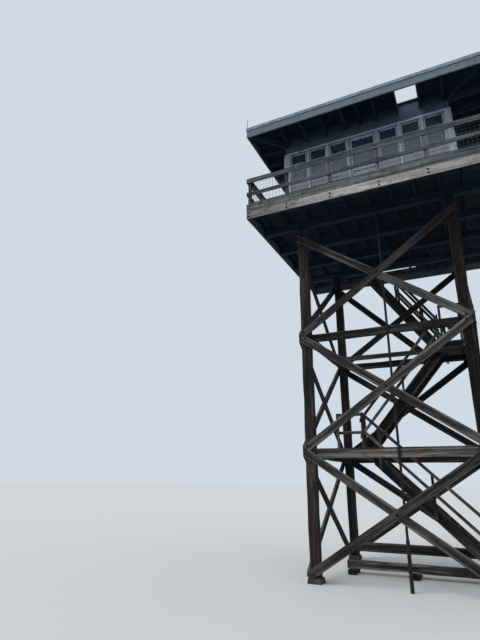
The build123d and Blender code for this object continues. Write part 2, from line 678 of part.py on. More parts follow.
def steps(flight):
    """The near edge, far edge, nose and top of each tread of a flight."""
    lane, x_low, z_low, x_high, z_high, risers, deep = flight
    face = -1 if x_high > x_low else 1
    for k in range(1, risers):
        nose = x_low + k * (x_high - x_low) / risers + face * NOSE
        heel = nose - face * deep
        yield min(nose, heel), max(nose, heel), nose, z_low + k * (z_high - z_low) / risers


def stringers(flight, foot_cut, head_cut):
    """Adds the two sloping sides of a flight, housed for the treads on their inner faces."""
    lane, x_low, z_low, x_high, z_high, risers, deep = flight
    rise = z_high - z_low
    run = x_high - x_low
    drop = STRINGER_W / math.cos(math.atan2(rise, abs(run)))
    shift = STRINGER_OVER - drop / 2
    top = z_high - TREAD_T if z_high < DECK_Z else DECK_Z
    for y, inner in ((lane[0], lane[0] + STRINGER_T), (lane[1] - STRINGER_T, lane[1] - STRINGER_T + HOUSING)):
        with BuildSketch(upright(y)) as profile:
            strip(x_low, z_low + shift, x_high, z_high + shift, STRINGER_W)
            window(min(foot_cut, head_cut), max(foot_cut, head_cut), z_low, top)
        extrude(profile.sketch, amount=-STRINGER_T)
        with BuildSketch(upright(inner)) as housings:
            for x0, x1, nose, z in steps(flight):
                window(x0, x1, z - TREAD_T, z, mode=Mode.ADD)
        extrude(housings.sketch, amount=HOUSING, mode=Mode.SUBTRACT)


def treads(flight):
    """Adds the treads of a flight, their ends in the housings and their noses eased."""
    lane = flight[0]
    noses = [nose for x0, x1, nose, z in steps(flight)]
    start = lane[0] + STRINGER_T - HOUSING
    with BuildSketch(upright(start)) as profile:
        for x0, x1, nose, z in steps(flight):
            window(x0, x1, z - TREAD_T, z, mode=Mode.ADD)
        chamfer([v for v in profile.vertices() if min(abs(v.X - n) for n in noses) < 0.01], length=NOSE_EASE)
    extrude(profile.sketch, amount=start - lane[1] + STRINGER_T - HOUSING)


with BuildPart() as stair_stringers:
    stringers(FLIGHT_1, FOOT_X, TOP_1)
    stringers(FLIGHT_2, FOOT_2 - SEAT_2, TOP_2)
    stringers(FLIGHT_3, FOOT_3 + SEAT_3, OPEN_X0)
stair_stringers.part.label = "stair_stringers"

with BuildPart() as flight_1_treads:
    treads(FLIGHT_1)
flight_1_treads.part.label = "flight_1_treads"

with BuildPart() as flight_2_treads:
    treads(FLIGHT_2)
flight_2_treads.part.label = "flight_2_treads"

with BuildPart() as flight_3_treads:
    treads(FLIGHT_3)
flight_3_treads.part.label = "flight_3_treads"

# Beams and joists that carry the two landings
with BuildPart() as landing_beams:
    block(TOP_1 - BEAM_T, TOP_1, -GIRT_IN, GIRT_IN, GIRT_TOP_1 - BEAM_H_1, GIRT_TOP_1)
    block(-GIRT_IN, GIRT_IN, BEAM_Y, BEAM_Y + BEAM_T, GIRT_TOP_2 - BEAM_H_2, GIRT_TOP_2)
landing_beams.part.label = "landing_beams"

with BuildPart() as landing_joists:
    first = INNER_Y + LAND_JOIST_T / 2
    last = LEG_IN - LAND_JOIST_T
    for k in range(4):
        y = first + k * (last - first) / 3
        block(-GIRT_IN, TOP_1 - BEAM_T, y - LAND_JOIST_T / 2, y + LAND_JOIST_T / 2,
              GIRT_TOP_1 - LAND_JOIST_H, GIRT_TOP_1)
    for x in (TOP_2 + UP_JOIST_T, LEG_IN - UP_JOIST_T):
        block(x - UP_JOIST_T / 2, x + UP_JOIST_T / 2, BEAM_Y, RIM_IN - LAND_EDGE,
              GIRT_TOP_2, LANDING_2 - TREAD_T)
landing_joists.part.label = "landing_joists"

with BuildPart() as landing_boards:
    block(-GIRT_OUT, TOP_1, INNER_Y, LEG_IN - LAND_EDGE, GIRT_TOP_1, LANDING_1)
    split_y = HALF + LAND_OVER
    block(TOP_2, LEG_IN - LAND_EDGE, BEAM_Y, split_y, LANDING_2 - TREAD_T, LANDING_2)
    block(TOP_2, HALF, split_y + LAND_EDGE, RIM_IN, LANDING_2 - TREAD_T, LANDING_2)
landing_boards.part.label = "landing_boards"


def nose_z(x, flight):
    """Height of the line through the noses of a flight above the point x."""
    lane, x_low, z_low, x_high, z_high, risers, deep = flight
    return z_low + (x - x_low) * (z_high - z_low) / (x_high - x_low)


def stair_post(x, y, z0, z1):
    """Adds an upright with its left near corner at x, y."""
    block(x, x + STAIR_POST, y, y + STAIR_POST, z0, z1)


def slope_rails(flight, x0, x1, y):
    """Adds the hand rail and the mid rail of a flight, between plumb ends, on its near face at y."""
    with BuildSketch(upright(y)) as profile:
        for height in (RAIL_H - RAIL_D / 2, RAIL_H - MID_DROP):
            with BuildSketch(mode=Mode.PRIVATE) as bar:
                z0 = nose_z(x0, flight) + height
                z1 = nose_z(x1, flight) + height
                strip(x0, z0, x1, z1, RAIL_D)
                window(min(x0, x1), max(x0, x1), min(z0, z1) - LEG, max(z0, z1) + LEG)
            add(bar.sketch)
    extrude(profile.sketch, amount=RAIL_W)


def level_rails(x0, x1, y0, y1, floor):
    """Adds the two level rails of a landing."""
    for top in (GUARD_H, GUARD_H - MID_DROP):
        block(x0, x1, y0, y1, floor + top - RAIL_D, floor + top)


# Posts of the stair rails, standing beside the flights and on the landings
with BuildPart() as stair_posts:
    for x in (LOW_POST_1, LOW_POST_2, LOW_POST_3):
        low = max(nose_z(x, FLIGHT_1) - POST_DOWN_1, PAD_H)
        stair_post(x, LANE_1[0] - STAIR_POST, low, nose_z(x, FLIGHT_1) + RAIL_H - POST_SHORT)
    for x in (GUARD_POST_1, -LEG_IN + POST_EASE):
        stair_post(x, INNER_Y, LANDING_1, LANDING_1 + GUARD_H)
    for x in (UP_POST_1, UP_POST_2, UP_POST_3):
        low = nose_z(x, FLIGHT_2) - POST_DOWN_2
        stair_post(x, LANE_2[0] - STAIR_POST, low, nose_z(x, FLIGHT_2) + RAIL_H + POST_OVER)
    for x in (TOP_2 + POST_OVER, LEG_IN - STAIR_POST - LAND_EDGE):
        stair_post(x, BEAM_Y, LANDING_2, LANDING_2 + GUARD_H)
    for x in (FOOT_3 - STAIR_POST - POST_EASE, MID_POST_3, END_3 + POST_EASE):
        low = max(nose_z(x, FLIGHT_3) - POST_DOWN_3, LANDING_2)
        top = min(nose_z(x, FLIGHT_3) + RAIL_H - POST_SHORT, LEG_TOP - NOSE)
        stair_post(x, LANE_3[0] - STAIR_POST, low, top)
        stair_post(x, LANE_3[1], low, top)
    for y in (split_y + POST_EASE, RIM_IN - STAIR_POST - LAND_EDGE):
        stair_post(OUT_X, y, LANDING_2, LANDING_2 + GUARD_H)
stair_posts.part.label = "stair_posts"

# Sloping rails of the flights and level rails of the landings
with BuildPart() as stair_rails:
    rail_end = GUARD_POST_1 + STAIR_POST - BEAM_CLEAR
    slope_rails(FLIGHT_1, LOW_POST_1 + RAIL_PAST_1, rail_end, LANE_1[0] - STAIR_POST)
    slope_rails(FLIGHT_2, FOOT_2 + RAIL_PAST_1, TOP_2, LANE_2[0] - STAIR_POST)
    slope_rails(FLIGHT_3, FOOT_3, END_3, LANE_3[0] - STAIR_POST)
    slope_rails(FLIGHT_3, FOOT_3, END_3, LANE_3[1])
    side_y = INNER_Y + STAIR_POST
    level_rails(-LEG_IN, GUARD_POST_1 + STAIR_POST, side_y, side_y + RAIL_W, LANDING_1)
    level_rails(TOP_2 + POST_OVER, LEG_IN - LAND_EDGE, BEAM_Y - RAIL_W, BEAM_Y, LANDING_2)
    side_x = OUT_X + STAIR_POST
    level_rails(side_x, side_x + RAIL_W, HALF + BRACE_T + POST_EASE, RIM_IN - LAND_EDGE, LANDING_2)
    back_y = RIM_IN - LAND_EDGE
    level_rails(FOOT_3 + RAIL_W, side_x - LAND_EDGE, back_y, back_y + RAIL_W, LANDING_2)
stair_rails.part.label = "stair_rails"

NODES = (
    footings, legs, girts, girt_plank, front_braces, back_braces, girt_packer, left_braces, right_braces,
    standpipe, ground_sill, sill_bearers, deck_girders, floor_joists, walkway_boards, cab_floor,
    lower_rim_boards, upper_rim_boards, railing_posts, top_rails, upper_rails, mid_rails, bottom_rails,
    low_walls, window_posts, wall_trim, window_heads, wall_bands, window_sashes, window_glass, cab_door,
    door_hinges, door_glass, ceiling, rafters, roof_blocks, roof_deck, fascia, roof_edge_strip, lightning_rod,
    stair_stringers, flight_1_treads, flight_2_treads, flight_3_treads, landing_beams, landing_joists,
    landing_boards, stair_posts, stair_rails,
)
for node in NODES:
    export_step(node.part, "parts/" + node.part.label + ".step")
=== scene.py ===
import bmesh
import bpy
import math
import random
from collections import namedtuple
from mathutils import Matrix, Vector


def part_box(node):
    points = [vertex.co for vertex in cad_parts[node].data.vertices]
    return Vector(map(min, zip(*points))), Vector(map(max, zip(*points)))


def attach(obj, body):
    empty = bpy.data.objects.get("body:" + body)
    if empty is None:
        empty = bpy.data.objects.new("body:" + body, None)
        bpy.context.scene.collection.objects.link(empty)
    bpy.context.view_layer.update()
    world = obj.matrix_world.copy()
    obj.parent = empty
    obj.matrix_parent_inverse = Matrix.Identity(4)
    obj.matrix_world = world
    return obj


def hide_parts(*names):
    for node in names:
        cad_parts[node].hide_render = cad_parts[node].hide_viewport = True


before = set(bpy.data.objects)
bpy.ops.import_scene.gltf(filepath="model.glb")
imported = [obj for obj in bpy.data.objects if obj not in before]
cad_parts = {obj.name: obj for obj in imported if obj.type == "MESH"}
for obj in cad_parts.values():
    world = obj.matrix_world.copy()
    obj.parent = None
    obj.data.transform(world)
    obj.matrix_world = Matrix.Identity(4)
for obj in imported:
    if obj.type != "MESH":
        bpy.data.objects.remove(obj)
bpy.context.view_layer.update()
dice = random.Random(41)

WORLD_AXES = (Vector((1, 0, 0)), Vector((0, 1, 0)), Vector((0, 0, 1)))
ALONG_X, ALONG_Y, UPWARD = 0, 1, 2

# How the long edges of bars are eased and worn, and how far apart they are cut to waver, in metres
Edge = namedtuple("Edge", "ease wear pitch")
PLAIN = Edge(0.006, 0.004, 0.45)
LEG_EDGE = Edge(0.012, 0.008, 0.35)
BRACE_EDGE = Edge(0.008, 0.007, 0.3)
GIRT_EDGE = Edge(0.008, 0.006, 0.3)
PLANK_EDGE = Edge(0.006, 0.004, 0.3)
GROUND_EDGE = Edge(0.01, 0.008, 0.3)
GIRDER_EDGE = Edge(0.008, 0.006, 0.45)
JOIST_EDGE = Edge(0.005, 0.004, 0.45)
LOWER_RIM_EDGE = Edge(0.005, 0.005, 0.3)
UPPER_RIM_EDGE = Edge(0.005, 0.004, 0.3)
RAIL_EDGE = Edge(0.004, 0.003, 0.45)
STRINGER_EDGE = Edge(0.006, 0.005, 0.45)
TREAD_EDGE = Edge(0.006, 0.004, 0.2)
STAIR_RAIL_EDGE = Edge(0.005, 0.003, 0.45)
WINDOW_POST_EDGE = Edge(0.003, 0.001, 0.45)
TRIM_EDGE = Edge(0.003, 0.002, 0.45)
FASCIA_EDGE = Edge(0.004, 0.003, 0.3)
BOARD_EDGE = Edge(0.003, 0.0015, 0.9)
SIDING_EDGE = Edge(0.004, 0.0015, 0.9)
MEMBER_EDGE = Edge(0.003, 0.001, 9.0)
CORE_EDGE = Edge(0.002, 0.0, 9.0)
FELT_EDGE = Edge(0.002, 0.001, 0.3)

# Shares of a bar's smaller half that easing and wear may take, and how fast they waver along it
EASE_SHARE = 0.3
WEAR_SHARE = 0.2
WAVER = 5.1
CHIPS = 1.7

# Limits for joining points and flat faces of the frame's meshes, and for easing their edges
WELD = 0.00005
FLAT_ANGLE = 0.01
SHARP_ANGLE = 0.3

# Boards, in metres
BOARD = 0.14
CAB_BOARD = 0.1
CEILING_BOARD = 0.09
ROOF_BOARD = 0.19
SIDING_BOARD = 0.125
LINING_BOARD = 0.19
SIDING_T = 0.022
LINING_T = 0.018
JOINT = 0.005
WIDE_JOINT = 0.006
BOARD_LIFT = 0.0012

# Sashes and door, in metres; the turned knob's outline is given by radius and height
SASH = 0.05
DOOR_FOOT = 0.2
DOOR_LOCK = 0.15
PANEL_SET = 0.014
BEAD = 0.012
BEAD_SET = 0.004
KNOB_STEPS = 20
KNOB_WELD = 0.0002
KNOB_STEM = ((0.026, 0.0), (0.026, 0.003), (0.022, 0.006), (0.009, 0.008), (0.009, 0.026))
KNOB_HEAD = ((0.018, 0.031), (0.026, 0.040), (0.026, 0.048), (0.018, 0.056), (0.0, 0.058))

# Roofing felt, in metres
FELT_ROOM = 0.01
FELT_SET = 0.002
ROLL_W = 0.95
ROLL_T = 0.004
LAP = 0.08

# Bolts, in metres; those of a brace are given by their distances from its end and its middle line
BOLT_R = 0.014
BOLT_T = 0.011
WASHER_R = 0.034
WASHER_T = 0.005
WASHER_SIDES = 16
HEAD_SIDES = 6
BRACE_BOLTS = ((0.14, -0.045), (0.24, 0.045))
LEG_REACH = 0.05
LONG_HALF = 2.0
RIM_BOLT_DROPS = (0.07, 0.17)
RIM_BOLT_SIZE = 0.8
POST_REACH = 0.2

# Wire mesh of the railing, in metres
WIRE_R = 0.003
WIRE_SIDES = 6
WIRE_STRAY = 0.002
CELL = 0.1
MESH_FOOT = 0.005
MESH_HEAD = 0.002
MESH_END = 0.01
FIRST_ROW = 0.004

# Levels and lines of the frame, which the tones of its timber follow
NEAR_FRONT = 0.17
NEAR_MIDDLE = 0.3
NEAR_POST = 0.1
LEG_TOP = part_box("legs")[1].z
LEG_MIDDLE = LEG_TOP / 2
STOREY = LEG_TOP / 3
GIRT_FRONT = 0.75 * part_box("girts")[0].y
RIM_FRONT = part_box("lower_rim_boards")[0].y + NEAR_FRONT
SILL_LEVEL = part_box("window_glass")[0].z

# Shades of the front crosses, storey by storey from the ground: the whole bar, then its half bars
# The top storey's shades are lower than the middle's as painted shade under the deck
BRACE_SHADES = ((0.6, 0.95), (1.1, 1.25), (0.85, 0.95))

# The two bleached posts of the front railing, by their places from left to right, with their shades
BLEACHED_POSTS = ((-0.82, 1.3), (0.46, 2.1))

# Where the lower rim board in front turns from grey to pale, and where the trim boards turn paler
RIM_GREY = 0.5
RIM_PALE_FROM = -2.4
RIM_PALE_RUN = 0.9
# The trim boards turn paler below the sills as painted light
TRIM_PALER = 0.5
TRIM_PALE_RUN = 0.3

# Floor and lamp
FLOOR_SIZE = 400.0
LAMP_FROM = (-0.55, -0.75, 1.0)

# The view: a low camera in front of the tower, looking up to the left of it
EYE = (1.818, -14.093, 2.314)
YAW = math.radians(-25.9635)
PITCH = math.radians(18.5501)
ROLL = math.radians(0.4125)
LENS = 26.634


def tint(red, green, blue):
    """A colour given as screen values from 0 to 255, in the linear form that shaders take."""
    parts = []
    for value in (red, green, blue):
        c = value / 255.0
        parts.append(c / 12.92 if c <= 0.04045 else ((c + 0.055) / 1.055) ** 2.4)
    return (*parts, 1.0)


class Look:
    """A node material. Each call adds a node; an input is a socket or a plain value."""

    def __init__(self, name):
        self.mat = bpy.data.materials.new(name)
        self.mat.use_nodes = True
        self.tree = self.mat.node_tree
        self.bsdf = self.tree.nodes["Principled BSDF"]

    def put(self, socket, value):
        if isinstance(value, bpy.types.NodeSocket):
            self.tree.links.new(value, socket)
        else:
            socket.default_value = value

    def attribute(self, name, output="Vector"):
        node = self.tree.nodes.new("ShaderNodeAttribute")
        node.attribute_name = name
        return node.outputs[output]

    def position(self):
        return self.tree.nodes.new("ShaderNodeTexCoord").outputs["Object"]

    def normal(self):
        return self.tree.nodes.new("ShaderNodeNewGeometry").outputs["Normal"]

    def vector(self, operation, a, b):
        node = self.tree.nodes.new("ShaderNodeVectorMath")
        node.operation = operation
        self.put(node.inputs[0], a)
        if operation == "SCALE":
            self.put(node.inputs["Scale"], b)
        else:
            self.put(node.inputs[1], b)
        return node.outputs["Vector"]

    def split(self, vector):
        node = self.tree.nodes.new("ShaderNodeSeparateXYZ")
        self.put(node.inputs[0], vector)
        return node.outputs["X"], node.outputs["Y"], node.outputs["Z"]

    def math(self, operation, a, b=0.0):
        node = self.tree.nodes.new("ShaderNodeMath")
        node.operation = operation
        self.put(node.inputs[0], a)
        self.put(node.inputs[1], b)
        return node.outputs[0]

    def noise(self, vector, scale=1.0, detail=3.0, rough=0.55):
        node = self.tree.nodes.new("ShaderNodeTexNoise")
        self.put(node.inputs["Vector"], vector)
        node.inputs["Scale"].default_value = scale
        node.inputs["Detail"].default_value = detail
        node.inputs["Roughness"].default_value = rough
        return node.outputs["Fac"]

    def cells(self, vector, scale=1.0):
        node = self.tree.nodes.new("ShaderNodeTexVoronoi")
        self.put(node.inputs["Vector"], vector)
        node.inputs["Scale"].default_value = scale
        return node.outputs["Distance"]

    def ramp(self, value, *stops):
        node = self.tree.nodes.new("ShaderNodeValToRGB")
        self.put(node.inputs[0], value)
        line = node.color_ramp.elements
        line[0].position, line[0].color = stops[0]
        line[1].position, line[1].color = stops[-1]
        for place, colour in stops[1:-1]:
            line.new(place).color = colour
        return node.outputs["Color"]

    def step(self, value, low, high):
        """0 at low and 1 at high, with a smooth way between; low may be the larger."""
        node = self.tree.nodes.new("ShaderNodeMapRange")
        node.interpolation_type = "SMOOTHSTEP"
        self.put(node.inputs["Value"], value)
        flip = low > high
        node.inputs["From Min"].default_value = high if flip else low
        node.inputs["From Max"].default_value = low if flip else high
        node.inputs["To Min"].default_value = 1.0 if flip else 0.0
        node.inputs["To Max"].default_value = 0.0 if flip else 1.0
        return node.outputs["Result"]

    def mix(self, factor, a, b):
        node = self.tree.nodes.new("ShaderNodeMix")
        node.data_type = "RGBA"
        self.put(node.inputs["Factor"], factor)
        self.put(node.inputs["A"], a)
        self.put(node.inputs["B"], b)
        return node.outputs["Result"]

    def bump(self, height, distance, strength):
        node = self.tree.nodes.new("ShaderNodeBump")
        node.inputs["Strength"].default_value = strength
        node.inputs["Distance"].default_value = distance
        self.put(node.inputs["Height"], height)
        return node.outputs["Normal"]

    def finish(self, colour, roughness, normal=None, **plain):
        """Fills the surface shader; further inputs are plain values, named with _ for a space."""
        self.put(self.bsdf.inputs["Base Color"], colour)
        self.put(self.bsdf.inputs["Roughness"], roughness)
        if normal is not None:
            self.put(self.bsdf.inputs["Normal"], normal)
        for name, value in plain.items():
            self.bsdf.inputs[name.replace("_", " ")].default_value = value
        return self.mat


def grain_of(look):
    """The grain place of a bar in metres, shifted bar by bar, with its random tone."""
    tone = look.attribute("tone", "Fac")
    shift = look.vector("SCALE", (37.0, 11.0, 23.0), tone)
    return look.vector("ADD", look.attribute("grain"), shift), tone


def shaded(look, colour, under):
    """A bar's colour scaled by its shade, which holds its weathered tone and painted shade and light, with
    painted shade on its undersides.
    """
    down = look.step(look.split(look.normal())[2], -0.35, -0.85)
    dark = look.math("SUBTRACT", 1.0, look.math("MULTIPLY", down, under))
    return look.vector("SCALE", colour, look.math("MULTIPLY", dark, look.attribute("shade", "Fac")))


def edge_of(look):
    """Distance of a point from the nearest long edge of its bar, and from its nearer end."""
    u, v, w = look.split(look.attribute("grain"))
    hu, hv, hw = look.split(look.attribute("half"))
    side = look.math("MAXIMUM", look.math("SUBTRACT", hv, look.math("ABSOLUTE", v)),
                     look.math("SUBTRACT", hw, look.math("ABSOLUTE", w)))
    end = look.math("SUBTRACT", hu, look.math("ABSOLUTE", u))
    return side, end


def wood_fibres(look, place):
    """Fine fibres, broad streaks, patches and long drying cracks of sawn timber."""
    fibre = look.noise(look.vector("MULTIPLY", place, (1.6, 75.0, 75.0)))
    streak = look.noise(look.vector("MULTIPLY", place, (0.5, 13.0, 13.0)))
    thread = look.noise(look.vector("MULTIPLY", place, (0.55, 22.0, 22.0)), detail=2.0)
    away = look.math("ABSOLUTE", look.math("SUBTRACT", thread, 0.5))
    patch = look.noise(look.vector("MULTIPLY", place, (0.7, 3.0, 3.0)), detail=2.0)
    crack = look.math("MULTIPLY", look.step(away, 0.02, 0.004), look.step(patch, 0.42, 0.6))
    return fibre, streak, patch, crack


def weathered(name, deep, mid, pale, stain, stained, strip, strip_light=0.5):
    """Old sawn timber: streaked along the grain, cracked, stained, bleached along its edges."""
    look = Look(name)
    place, tone = grain_of(look)
    fibre, streak, patch, crack = wood_fibres(look, place)
    side, end = edge_of(look)

    # Streaks along the grain
    mixed = look.math("ADD", look.math("MULTIPLY", fibre, 0.5), look.math("MULTIPLY", streak, 0.8))
    mixed = look.math("ADD", mixed, look.math("MULTIPLY", patch, 0.45))
    mixed = look.math("ADD", mixed, look.math("MULTIPLY", tone, 0.22))
    colour = look.ramp(look.math("MULTIPLY", mixed, 0.75), (0.56, deep), (0.74, mid), (0.96, pale))

    # Stains that run down with the rain
    runs = look.noise(look.vector("MULTIPLY", look.position(), (5.0, 5.0, 0.8)))
    wet = look.math("MULTIPLY", look.step(runs, 0.5, 0.72), stained)
    colour = look.mix(wet, colour, stain)

    # Ragged pale strips along the edges
    wander = look.noise(look.vector("MULTIPLY", place, (0.8, 1.0, 1.0)), detail=1.0)
    reach = look.math("ADD", look.math("MULTIPLY", look.step(wander, 0.35, 0.62), strip), 0.006)
    ragged = look.math("ADD", side, look.math("MULTIPLY", look.math("SUBTRACT", fibre, 0.5), 0.022))
    ragged = look.math("SUBTRACT", ragged, reach)
    worn = look.math("MULTIPLY", look.step(ragged, 0.008, -0.008), strip_light)
    colour = look.mix(worn, colour, look.ramp(streak, (0.3, mid), (0.6, pale)))

    # Blotches, broad tones, knots, dark ends and cracks
    blotch = look.noise(look.vector("MULTIPLY", place, (2.6, 9.0, 9.0)), detail=5.0, rough=0.68)
    colour = look.mix(look.math("MULTIPLY", look.step(blotch, 0.53, 0.68), 0.6), colour, deep)
    broad = look.noise(look.vector("MULTIPLY", place, (0.55, 1.5, 1.5)), detail=2.0)
    colour = look.vector("SCALE", colour, look.math("ADD", look.math("MULTIPLY", broad, 1.3), 0.36))
    knot = look.cells(look.vector("MULTIPLY", place, (1.1, 4.5, 4.5)))
    eye = look.math("MULTIPLY", look.step(knot, 0.16, 0.05), 0.75)
    colour = look.mix(eye, colour, deep)
    colour = look.mix(look.math("MULTIPLY", look.step(end, 0.06, 0.0), 0.5), colour, deep)
    colour = look.mix(look.math("MULTIPLY", crack, 0.85), colour, tint(14, 12, 11))

    height = look.math("SUBTRACT", look.math("MULTIPLY", fibre, 0.5), crack)
    height = look.math("ADD", height, look.math("MULTIPLY", eye, 0.35))
    # Painted shade on the undersides, with the shade attribute's tone and its painted shade and light
    colour = shaded(look, colour, 0.45)
    return look.finish(colour, 0.85, look.bump(height, 0.005, 0.7), Specular_IOR_Level=0.25)


def painted(name, paint, faded, bare, chipped):
    """Old paint on wood: faded unevenly, chipped to the bare grain, with dirt run down it."""
    look = Look(name)
    place, tone = grain_of(look)
    fibre, streak, patch, crack = wood_fibres(look, place)
    side, end = edge_of(look)

    # Faded paint with dirt
    fade = look.math("ADD", look.math("MULTIPLY", streak, 0.6), look.math("MULTIPLY", patch, 0.4))
    colour = look.mix(look.step(fade, 0.35, 0.68), paint, faded)
    colour = look.mix(look.math("MULTIPLY", tone, 0.22), colour, bare)
    dirt = look.noise(look.vector("MULTIPLY", look.position(), (9.0, 9.0, 1.1)), detail=4.0)
    colour = look.mix(look.math("MULTIPLY", look.step(dirt, 0.5, 0.75), 0.45), colour, bare)

    # Flakes that came off, more of them near the edges and ends
    flake = look.noise(look.vector("MULTIPLY", place, (7.0, 26.0, 26.0)), detail=4.0, rough=0.65)
    near = look.math("MULTIPLY", look.step(side, 0.03, 0.0), 0.16)
    near = look.math("ADD", near, look.math("MULTIPLY", look.step(end, 0.12, 0.0), 0.08))
    flake = look.math("ADD", flake, near)
    gone = look.step(flake, 0.72 - 0.16 * chipped, 0.75 - 0.16 * chipped)
    grey = look.ramp(fibre, (0.3, tint(52, 46, 42)), (0.7, bare))
    colour = look.mix(look.math("MULTIPLY", gone, 0.9), colour, grey)
    colour = look.mix(look.math("MULTIPLY", crack, 0.5), colour, tint(30, 28, 27))

    height = look.math("SUBTRACT", look.math("MULTIPLY", fibre, 0.25), look.math("MULTIPLY", gone, 0.4))
    height = look.math("SUBTRACT", height, look.math("MULTIPLY", crack, 0.5))
    # Painted shade on the undersides, with the shade attribute's tone and its painted shade and light
    return look.finish(shaded(look, colour, 0.35), 0.6, look.bump(height, 0.003, 0.7))


def concrete(name):
    """Rough cast concrete, pitted, stained brown near the ground."""
    look = Look(name)
    place = look.position()
    broad = look.noise(place, 5.0, 4.0)
    fine = look.noise(place, 60.0)
    pits = look.step(look.cells(place, 38.0), 0.22, 0.08)
    # The concrete's tones are darkened, partly for mud and partly as painted shade
    colour = look.ramp(broad, (0.3, tint(52, 49, 44)), (0.5, tint(74, 70, 64)), (0.7, tint(96, 92, 84)))
    colour = look.mix(look.math("MULTIPLY", fine, 0.35), colour, tint(60, 54, 46))
    low = look.math("ADD", look.split(place)[2], look.math("MULTIPLY", broad, 0.1))
    colour = look.mix(look.math("MULTIPLY", look.step(low, 0.12, 0.05), 0.6), colour, tint(54, 46, 36))
    colour = look.mix(look.math("MULTIPLY", pits, 0.6), colour, tint(46, 43, 39))
    height = look.math("SUBTRACT", look.math("ADD", fine, broad), pits)
    return look.finish(colour, 0.92, look.bump(height, 0.006, 0.8))


def felt(name):
    """Mineral roofing felt: fine granules, faded in patches, with tar squeezed out at the laps."""
    look = Look(name)
    place = look.position()
    side = edge_of(look)[0]
    tone = look.attribute("tone", "Fac")
    grit = look.noise(place, 420.0, 2.0)
    patch = look.noise(place, 1.3, 4.0)
    colour = look.ramp(patch, (0.32, tint(66, 70, 70)), (0.55, tint(92, 96, 95)),
                       (0.75, tint(112, 114, 110)))
    colour = look.mix(look.math("MULTIPLY", look.step(grit, 0.45, 0.7), 0.4), colour, tint(142, 142, 138))
    moss = look.noise(place, 9.0, 5.0, 0.7)
    colour = look.mix(look.math("MULTIPLY", look.step(moss, 0.6, 0.74), 0.6), colour, tint(72, 78, 52))
    colour = look.vector("SCALE", colour, look.math("ADD", look.math("MULTIPLY", tone, 0.22), 0.88))
    seam = look.math("ADD", side, look.math("MULTIPLY", look.math("SUBTRACT", moss, 0.5), 0.03))
    tar = look.math("MULTIPLY", look.step(seam, 0.022, 0.008), 0.85)
    colour = look.mix(tar, colour, tint(30, 30, 30))
    return look.finish(colour, 0.95, look.bump(grit, 0.003, 0.6))


def metal(name, base, dull, rust, rusted, rough=0.45, metallic=0.7):
    """Weathered metal: dulled in clouds, rusted in spots and runs."""
    look = Look(name)
    place = look.position()
    cloud = look.noise(place, 6.0, 4.0)
    colour = look.mix(look.step(cloud, 0.35, 0.65), base, dull)
    spots = look.noise(look.vector("MULTIPLY", place, (18.0, 18.0, 5.0)), detail=5.0, rough=0.65)
    oxide = look.math("MULTIPLY", look.step(spots, 0.66 - 0.22 * rusted, 0.76 - 0.22 * rusted), 0.85)
    colour = look.mix(oxide, colour, rust)
    gloss = look.math("ADD", look.math("MULTIPLY", oxide, 0.35), rough)
    return look.finish(colour, gloss, look.bump(spots, 0.002, 0.4), Metallic=metallic)


def pane(name):
    """Old smoky glass, which turns paler and rougher towards the foot of each window."""
    look = Look(name)
    place = look.position()
    foot_waver = look.noise(place, 14.0, 4.0)
    level = look.math("ADD", look.split(place)[2], look.math("MULTIPLY", foot_waver, -0.2))
    paler_foot = look.step(level, SILL_LEVEL + 0.12, SILL_LEVEL - 0.15)
    colour = look.mix(paler_foot, tint(112, 138, 162), tint(126, 136, 144))
    rough = look.math("ADD", look.math("MULTIPLY", paler_foot, 0.12), 0.012)
    wave = look.noise(place, 2.2, 1.0)
    return look.finish(colour, rough, look.bump(wave, 0.004, 0.12), Transmission_Weight=0.82, IOR=1.55,
                       Coat_Weight=0.6, Coat_Roughness=0.02)


LEG_TIMBER = weathered("leg_timber", tint(24, 20, 21), tint(52, 45, 44), tint(112, 105, 100),
                       tint(76, 42, 36), stained=0.42, strip=0.04)
BRACE_TIMBER = weathered("brace_timber", tint(28, 26, 26), tint(56, 53, 51), tint(132, 128, 121),
                         tint(62, 44, 34), stained=0.35, strip=0.055, strip_light=0.85)
GREY_TIMBER = weathered("grey_timber", tint(46, 48, 51), tint(88, 92, 97), tint(140, 144, 148),
                        tint(60, 54, 50), stained=0.4, strip=0.015)
RIM_TIMBER = weathered("rim_timber", tint(52, 54, 54), tint(107, 110, 109), tint(156, 158, 155),
                       tint(64, 60, 50), stained=0.5, strip=0.02)
# Its dark blue tones are painted shade: the blue cast of the shade under the deck and the roof
SHADE_BLUE_TIMBER = weathered("dark_timber", tint(27, 39, 54), tint(51, 68, 89), tint(97, 110, 124),
                        tint(38, 32, 34), stained=0.3, strip=0.01, strip_light=0.6)
PALE_TIMBER = weathered("pale_timber", tint(80, 78, 74), tint(170, 168, 162), tint(214, 212, 206),
                        tint(148, 106, 88), stained=0.45, strip=0.015)
# Its blue cast is painted shade: the blue of the shade under the eaves, where its blocks and bands sit
EAVE_SHADE_PAINT = painted("painted_wood", tint(86, 108, 126), tint(104, 126, 143), tint(74, 78, 84),
                       chipped=0.35)
PAINTED_WALL = painted("painted_wall", tint(146, 155, 166), tint(164, 172, 182), tint(100, 101, 104),
                       chipped=0.35)
PAINTED_TRIM = painted("painted_trim", tint(158, 173, 187), tint(180, 191, 200), tint(112, 114, 116),
                       chipped=0.45)
PAINTED_FASCIA = painted("painted_fascia", tint(108, 123, 133), tint(124, 137, 146), tint(82, 86, 90),
                         chipped=0.35)
CONCRETE = concrete("concrete")
FELT = felt("roof_felt")
EDGE_METAL = metal("edge_metal", tint(154, 168, 178), tint(130, 143, 152), tint(92, 84, 76),
                   rusted=0.3, rough=0.6, metallic=0.15)
PIPE_METAL = metal("pipe_metal", tint(46, 47, 48), tint(32, 32, 33), tint(76, 48, 36),
                   rusted=0.55, rough=0.55)
